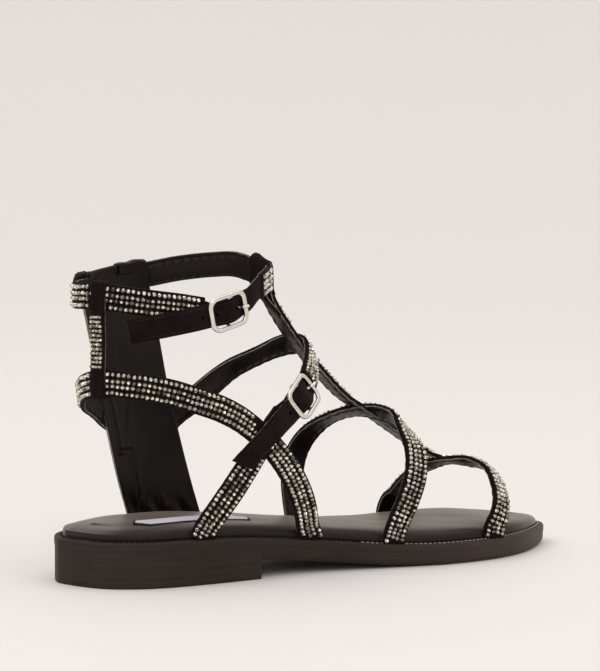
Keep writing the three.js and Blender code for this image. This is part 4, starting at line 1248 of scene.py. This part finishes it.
# %% Heel bands
HEEL_WRAP = [(46, 29.6, 59, 0), (38.5, 27.4, 63.4, 0), (31, 22.4, 67.4, 0.3),
             (22, 15.8, 72.7, 0), (14, 9, 76.7, 0), (10, 1.4, 80.4, 0), (8.8, -6.2, 82.8, 0),
             (11.2, -14.4, 84.6, 0), (22.6, -23.4, 83.6, 0), (36.2, -28, 80.8, 0),
             (47.2, -30.5, 77.2, 0), (59, -32.4, 72.8, 0), (69.2, -33.4, 66.9, 0),
             (80.8, -33.8, 57, 0), (89, -33.6, 47.4, 0), (95, -32.4, 38.2, 0),
             (100, -29.8, 28.4, 0)]
RISING_STRAP = [(55.3, -30.3, 28, 0), (57.7, -31.6, 31.4, -0.6), (64.4, -33, 40.4, -1.4),
                (72.9, -33.6, 51.6, -1.6), (81, -31.8, 61.4, -1.0), (89.8, -28.2, 69.4, 0)]
BACK_STRIP = [(11.3, -14.3, 126, 1.9), (11.4, -14.3, 120, 1.9), (11.6, -14, 110, 1.9),
              (11.8, -14, 98, 1.9), (11.2, -14.4, 85.2, 1.9), (11.2, -14.4, 78.4, 1.9)]

heel_run = run_of(np.vstack([HEEL_WRAP, foot_rows("heel_wrap")]))
band("heel_wrap", heel_run)
stones("heel_wrap_stones", heel_run,
       where=lambda p: clear_of_keeper(p, 11.4, -14.4) & above_sole(p)
       & ~((p[..., 0] > 72.5) & (p[..., 0] < 79)))
rising_run = run_of(np.vstack([foot_rows("rising")[::-1], RISING_STRAP]))
band("rising_strap", rising_run, 10.4)
stones("rising_strap_stones", rising_run,
       where=lambda p: above_sole(p) & (p[..., 2] < 51))
carrier("instep_carrier", instep_buckle, rising_run)

strip_run = run_of(BACK_STRIP)
band("upright_strip", strip_run, 7.4, 2.0)
stones("upright_strip_stones", strip_run, offsets=[-2.5, -0.85, 0.85, 2.5], lift=0.98, pitch=1.9,
       radius=0.82, where=lambda p: (p[..., 2] < 113.6) & (p[..., 2] > 91.4))


# %% Keepers
def keeper(name, run, near, width=6.2, half_height=6.4, half_depth=2.3, shift=0.9):
    """A loop round a band: a rounded rectangle across it, carried as a thin strip."""
    index = np.argmin(np.linalg.norm(run.middle - near, axis=1))
    middle, forward = run.middle[index], run.forward[index]
    face, side = run.face[index], run.side[index]
    loop = rounded_rectangle(half_depth, half_height, 1.6, shift, count=8)
    start = rounded_rectangle(half_depth - 0.9, half_height - 0.9, 0.8, shift, count=8)
    reach = np.array([-0.5, -0.44, 0.44, 0.5, 0.5, 0.44, -0.44, -0.5]) * width
    outer_share = np.array([0.75, 1, 1, 0.75, 0.1, 0, 0, 0.1])
    flat = start[:, None] + (loop - start)[:, None] * outer_share[None, :, None]
    rings = (middle + face * flat[..., :1] + side * flat[..., 1:]
             + forward * np.broadcast_to(reach[None, :, None], flat.shape[:2] + (1,)))
    return keep(loft(name, rings, [SUEDE], closed=True, crease=50))


keeper("upper_keeper", ankle_back, np.array([11.2, -14.2, 120.4]))
keeper("lower_keeper", heel_run, np.array([11.2, -14.4, 84.6]), half_height=6.6)

# %% [markdown]
# ## Instep and front bands
# The instep band is buckled like the ankle band. A long band runs down the middle from the
# ankle to the toe strap, folded over the ankle band at its top. The midfoot and toe bands cross
# it and go down between the pad and the rim on both sides.

# %% Instep, middle, midfoot and toe bands
T_STRAP = [(97.3, 0.5, 122.8, 0), (98.7, 0.9, 118.4, 0), (101.4, 1.4, 113.8, 0),
           (104.6, 1.8, 109.2, 0), (108.9, 2, 103.4, 0), (117.5, 2, 92.9, 0),
           (126.4, 2, 83.2, 0), (138.4, 2, 73, -0.6), (148.4, 2, 67.6, -1), (157.5, 2, 61.8, -0.8),
           (171.4, 2, 51.8, 0), (180.6, 1.5, 44.8, 0.8), (187.4, 1, 41.6, 1.7)]
T_LOOP = [(103.4, 1.7, 110.6), (99.2, 1.2, 115), (95, 0.4, 118.8), (93, -0.2, 122.6),
          (92.7, -0.4, 127.5), (92.9, -0.3, 131.6), (93.8, -0.1, 133.6), (95.2, 0, 134.4),
          (96.5, 0.1, 133.6), (97.1, 0.2, 131.6), (97.4, 0.4, 127), (98, 0.6, 122.5),
          (99.4, 0.9, 119)]
MIDFOOT = [(128.1, 29, 25.5, 0, 0), (128.3, 30.2, 34, 0, 0), (129.6, 28.8, 44.6, 0, 0),
           (133.2, 23.4, 54.6, 0, -6), (139.2, 15, 61.8, 0, -10), (146.2, 5, 65.4, 0, 6),
           (152.6, -3.6, 65.3, 0, 32), (156.8, -11, 62.9, 0, 38), (157.4, -18.8, 57.8, 0, 20),
           (157.4, -27.2, 50.4, 0, 2), (154.2, -32.4, 39.8, 0, 0), (150, -33.4, 29.8, 0, 0),
           (146.2, -32.6, 21.4, 0, 0)]
TOE = [(183.2, 33.2, 20, 0, 0), (183.8, 28.4, 24.2, 0, 0), (183.4, 20, 30.6, 0, -4),
       (184.2, 9, 36.8, 0, -4), (188.4, -1, 41.1, 0, 14), (196.4, -10, 41.6, 0, 40),
       (201.8, -18.6, 38.8, 0, 34), (202.2, -26, 32.2, 0, 24), (200.8, -31, 24.6, 0, 16),
       (198.4, -32.6, 18.6, 0, 9)]

instep_run = billet_parts("instep_strap", INSTEP_STRAP, instep_buckle, -16.5, slant=-0.45)
stones("instep_strap_stones", instep_run)

t_run = run_of(T_STRAP)
band("middle_strap", t_run, 9.8)


def in_the_open(p):
    """True between the fold and the toe strap, except where another band crosses on top."""
    x = p[..., 0]
    crossed = ((x > 109) & (x < 122)) | ((x > 139) & (x < 158))
    return ~crossed & (x > 101.4) & (x < 183)


stones("middle_strap_stones", t_run, where=in_the_open)
loop_run = run_of(T_LOOP, 0.7, across=np.array([-0.2, 0.88, 0.43]))
band("middle_strap_loop", loop_run, 9.8, 1.5)

midfoot_run = run_of(np.vstack([foot_rows("midfoot_inner", 5)[::-1], MIDFOOT,
                                foot_rows("midfoot_outer", 5)]))
band("midfoot_strap", midfoot_run)
stones("midfoot_stones", midfoot_run, where=above_sole)
toe_run = run_of(np.vstack([foot_rows("toe_inner", 5)[::-1], TOE, foot_rows("toe_outer", 5)]))
band("toe_strap", toe_run)
stones("toe_stones", toe_run, where=above_sole)

# %% [markdown]
# ## Inner panel
# A stiff piece of lined leather that stands from the footbed to the ankle on the inner side. It
# is a loft of level rows, each a shallow arc from its rear to its front edge. Seams, a folded
# top edge and the soft creases near its foot are moved into its lining face.

# %% The panel's rows and its relief
PANEL_THICK = 2.2
PANEL_ROWS = np.array([  # rear x, y, z, front x, y, z, bulge
    (44.8, 27.2, 19.4, 79.8, 25.4, 17.6, 1.0), (43, 26.6, 25, 78.2, 25.8, 23, 1.4),
    (38.1, 23.6, 37, 74.1, 26, 36, 2.6), (31.4, 20.6, 59, 67.9, 26.6, 59, 3.8),
    (26.6, 20.2, 80, 62.8, 27, 80, 3.8), (22.6, 19.6, 100, 58.8, 27.2, 100, 3.6),
    (18.6, 17.8, 114.4, 55, 27, 116, 3.4), (15.4, 15.6, 122.4, 52.8, 26.6, 126.6, 3.2),
    (13, 13.8, 127.0, 51, 26.4, 133.4, 3.0)])
REAR_SEAM = [(18.5, 122), (24, 108), (29, 92), (33, 74), (38, 52)]
PATCH_SEAM = [(38, 52), (45, 51.6), (47.7, 36), (50, 24)]
FRONT_SEAM = [(51.4, 132), (54.2, 120.5), (57, 105)]


def distance_to(line, x, z):
    """Shortest distance in the x, z plane from each point to a line of straight pieces."""
    line = np.asarray(line, float)
    start, span = line[:-1], np.diff(line, axis=0)
    spot = np.stack([x, z], axis=-1)[..., None, :]
    along = np.clip(((spot - start) * span).sum(-1) / (span**2).sum(-1), 0, 1)
    return np.linalg.norm(spot - start - along[..., None] * span, axis=-1).min(-1)


def panel_relief(x, z, u):
    """Lining height in mm: grooves along seams, a raised top fold, soft creases by the foot."""
    relief = np.zeros_like(x)
    for seam in (REAR_SEAM, PATCH_SEAM, FRONT_SEAM):
        away = distance_to(seam, x, z)
        relief += -0.4 * np.exp(-(away / 0.5) ** 2) + 0.3 * np.exp(-((away - 1.3) / 0.8) ** 2)
    fold = smoothstep((z - 127) / 2.5) * smoothstep((x - 38) / 2) * smoothstep((52 - x) / 2)
    relief += 0.9 * fold + 0.9 * smoothstep((z - 117) / 2) * smoothstep((u - 0.925) / 0.02)
    foot = np.exp(-((z - 19) / 9) ** 2)
    relief += foot * (0.55 * np.sin(u * 21 + 0.3 * z) + 0.35 * np.sin(u * 37 + 1.0))
    for crease_x, crease_z, turn, length, depth in (
            (50, 32, 0.35, 9, 0.5), (60, 27, -0.3, 7, 0.45), (42, 66, 0.1, 12, 0.25),
            (22, 124, 0.8, 6, 0.7), (17.5, 126, -0.5, 4, 0.6), (36, 98, 0.05, 14, 0.18)):
        along = (x - crease_x) * math.sin(turn) + (z - crease_z) * math.cos(turn)
        beside = (x - crease_x) * math.cos(turn) - (z - crease_z) * math.sin(turn)
        relief += -depth * np.exp(-(along / length) ** 2 - (beside / 0.9) ** 2)
        relief += 0.6 * depth * np.exp(-(along / length) ** 2 - ((beside - 1.5) / 1.1) ** 2)
    return relief


# %% The panel
def make_panel():
    """point(u, v) = rear + u (front - rear) + 4 u (1 - u) bulge, then out or in by half a wall."""
    fine = through(PANEL_ROWS, 0.9)
    rear, front, bulge = fine[:, None, :3], fine[:, None, 3:6], fine[:, None, 6:]
    u = np.linspace(0, 1, 70)[None, :, None]
    chord = front - rear
    aside = unit(np.concatenate([-chord[..., 1:2], chord[..., :1], 0 * chord[..., :1]], axis=-1))
    sheet = rear + chord * u + aside * bulge * 4 * u * (1 - u)
    half = PANEL_THICK / 2
    relief = panel_relief(sheet[..., 0], sheet[..., 2],
                          np.broadcast_to(u[..., 0], sheet.shape[:2]))
    edge_soft = np.minimum(1, np.minimum(u, 1 - u) * 60)
    wall = half * (0.65 + 0.35 * edge_soft)
    inner = sheet - aside * (wall + relief[..., None] * edge_soft)
    outer = sheet + aside * wall
    rings = np.concatenate([outer, inner[:, ::-1]], axis=1)
    top, turned = rings[-1:], rings[-1:, ::-1]
    rings = np.concatenate([rings, (top + turned) / 2 + (top - turned) * 0.36 + (0, 0, 0.35)])
    columns = rings.shape[1]
    finish = np.full(columns, 2)
    finish[:69] = 0
    finish[69], finish[-1] = 1, 1
    return loft("inner_panel", rings, [SUEDE, CUT_EDGE, LINING], finish), sheet, aside


panel, panel_sheet, panel_aside = make_panel()
keep(panel, "upper")


# %% [markdown]
# The panel's top edge is finished in two ways. Near the front a tab is folded over it, and at
# the rear corner the leather is gathered into a roll. Both are small profiles carried along the
# edge, because a fold has a thickness that a bump in the finish can't give.

# %% The panel's tab and roll
def make_panel_tab():
    """A folded tab over the top edge near its front: a rounded block carried along the edge."""
    top = panel_sheet[-1][46:-1]
    aside = np.broadcast_to(panel_aside[-1], panel_sheet[-1].shape)[46:-1]
    across = rounded_rectangle(1.9, 2.6, 1.0, count=6)
    wave = 0.25 * np.sin(np.arange(len(top)) * 0.5)[:, None, None]
    rings = (top[:, None] + aside[:, None] * across[None, :, :1]
             + np.array([0, 0, 1.0]) * (across[None, :, 1:] - 1.7 + wave))
    return keep(loft("panel_tab", rings, [LINING]))


def make_panel_roll():
    """The rear corner's gathered leather: a short rod whose radius ripples as two waves."""
    path = through([(15.2, 15.6, 121.2), (13.4, 13.8, 124.8), (13, 13, 126.8), (15, 14.2, 128.0),
                    (19, 16.6, 128.2), (22.6, 18.4, 127.8)], 0.35)
    at = np.arange(len(path))
    radius = 1.25 + 0.3 * np.sin(at * 0.9) * np.sin(at * 0.37 + 1) + 0.15 * np.sin(at * 2.1)
    radius *= np.sqrt(np.clip(np.minimum(at, at[::-1]) / 4, 0.05, 1))
    roll = loft("panel_roll", rod(path, radius, side_way=(0.3, -0.95, 0)), [LINING], crease=70)
    return keep(roll)


make_panel_tab()
make_panel_roll()


def on_panel(seam, shift=0.0):
    """Points of the lining face under a line drawn in x and z, moved along x by shift."""
    line = through([(x + shift, 0, z) for x, z in seam], 1.0)
    flat = panel_sheet.reshape(-1, 3)
    away = np.hypot(flat[None, :, 0] - line[:, None, 0], flat[None, :, 2] - line[:, None, 2])
    index = np.argmin(away, axis=1)
    aside = np.broadcast_to(panel_aside, panel_sheet.shape).reshape(-1, 3)[index]
    line[:, 1] = flat[index, 1]
    return line - aside * (PANEL_THICK / 2 + 0.2), -aside


for tag, seam, shift in (("rear", REAR_SEAM, 1.3), ("patch", PATCH_SEAM, 1.3),
                         ("front", FRONT_SEAM, -1.3)):
    line, out_way = on_panel(seam, shift)
    stitches(f"panel_stitches_{tag}", line[::2], out_way[::2], pitch=2.4, length=1.6, radius=0.18)
print("panel faces:", len(panel.data.polygons))

# %% [markdown]
# ## Stitching round the rim
# A sole of this kind shows a line of thread in the groove between the rim and the footbed. One
# capsule is repeated round the outline.

# %% Rim stitches: painted light and shade, pale thread round the forefoot, dark round the heel
rim = inset(EDGE[:, :2], 2.75)[::5]
rim_line = np.column_stack([rim, rim_top(rim[:, 0]) + 0.12])
front = rim_line[rim_line[:, 0] > 128]
half = int(np.argmax(rim_line[:, 0]))
rear = np.vstack([part[part[:, 0] <= 128] for part in (rim_line[half:], rim_line[:half])])
for tag, line, thread, thick in (("front", front, PAINTED_LIT_THREAD, 0.40), ("rear", rear, WELT, 0.38)):
    upwards = np.tile((0.0, 0, 1), (len(line), 1))
    stitches(f"rim_stitches_{tag}", line, upwards, pitch=2.3, length=1.6, radius=thick,
             material=thread)

# %% [markdown]
# ## Studio
# One pale sweep serves as floor and backdrop: a flat disc that curves up into a low wall far
# behind the sandal, so no horizon shows. A large soft lamp above and behind gives the soft
# shadow, a second one fills the near side, and a few small bright lamps give the stones their
# sparkle.

# %% Sweep
def make_sweep():
    """A profile of radius and height, turned about the upright axis."""
    bend = np.radians(np.linspace(0, 42, 20))
    profile = np.vstack([[(0.001, 0), (0.5, 0), (1.2, 0), (2.0, 0)],
                         np.column_stack([2.6 + 5.0 * np.sin(bend), 5.0 * (1 - np.cos(bend))])])
    turn = np.arange(96) * 2 * np.pi / 96
    rings = np.stack([profile[:, :1] * np.cos(turn), profile[:, :1] * np.sin(turn),
                      np.broadcast_to(profile[:, 1:], (len(profile), 96))], axis=-1)
    quads = ring_faces(len(profile), 96)
    points = (rings.reshape(-1, 3) - (0, 0, 0.00002)) / MM - HEEL_BACK / MM
    return mesh_object("sweep", points, quads.ravel(), np.full(len(quads), 4), [FLOOR])


def make_floor_finish():
    """Pale paper: two close warm whites in patches almost a metre across."""
    material, tree, shader = new_material("pale_floor", Roughness=0.75, Specular_IOR_Level=0.25)
    patches = place_group(tree, PATCHES, Size=900.0, Softness=1.5)
    shade, light = (0.80, 0.768, 0.735), (0.82, 0.788, 0.757)
    tree.links.new(mix_colour(tree, patches.outputs["Value"], shade, light),
                   shader.inputs["Base Color"])
    return material


FLOOR = make_floor_finish()
sweep = make_sweep()
sweep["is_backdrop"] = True


# %% Lights and view
def lamp(name, spot, aim, size, power, colour=(1.0, 1.0, 1.0)):
    """A square soft lamp in metres, turned so that its -Z axis points at the aim."""
    data = bpy.data.lights.new(name, "AREA")
    data.size, data.energy, data.color = size, power, colour
    made = bpy.data.objects.new(name, data)
    toward = unit(np.array(aim, float) - spot)
    right_way = unit(np.cross(toward, [0, 0, 1]))
    basis = np.eye(4)
    basis[:3, 0], basis[:3, 1] = right_way, np.cross(right_way, toward)
    basis[:3, 2], basis[:3, 3] = -toward, spot
    made.matrix_world = Matrix(basis.tolist())
    bpy.context.scene.collection.objects.link(made)


world = bpy.data.worlds.new("studio")
world.use_nodes = True
sky = world.node_tree
direction = node(sky, "ShaderNodeTexCoord")
split = node(sky, "ShaderNodeSeparateXYZ")
sky.links.new(direction.outputs["Generated"], split.inputs[0])
height = ramp(sky, split.outputs["Z"], -0.1, 1.2)
sky.links.new(mix_colour(sky, height, (0.52, 0.505, 0.495), (1.13, 1.11, 1.095)),
              sky.nodes["Background"].inputs["Color"])
bpy.context.scene.world = world
lamp("key", np.array([-0.9, 0.5, 1.9]), (0, 0, 0.05), 1.1, 4.0, (1.0, 0.985, 0.96))
lamp("near_fill", np.array([-0.6, -1.7, 1.0]), (0, 0, 0.06), 0.7, 1.0)
for number, spot in enumerate([(-0.5, -1.3, 1.1), (0.4, -1.5, 0.9), (0.9, -0.6, 1.3),
                               (-1.1, -0.7, 0.8)]):
    lamp(f"sparkle_{number}", np.array(spot), (0, 0, 0.06), 0.07, 0.75)
bpy.context.scene.view_settings.view_transform = "Standard"
bpy.context.scene.view_settings.look = "None"

# %% Sizes, then finish
visual_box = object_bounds()
plain = lambda box: [[float(value) for value in corner] for corner in box]
{"cad": plain(cad_box), "visual": plain(visual_box)}
print("CAD box", plain(cad_box), "visual box", plain(visual_box))
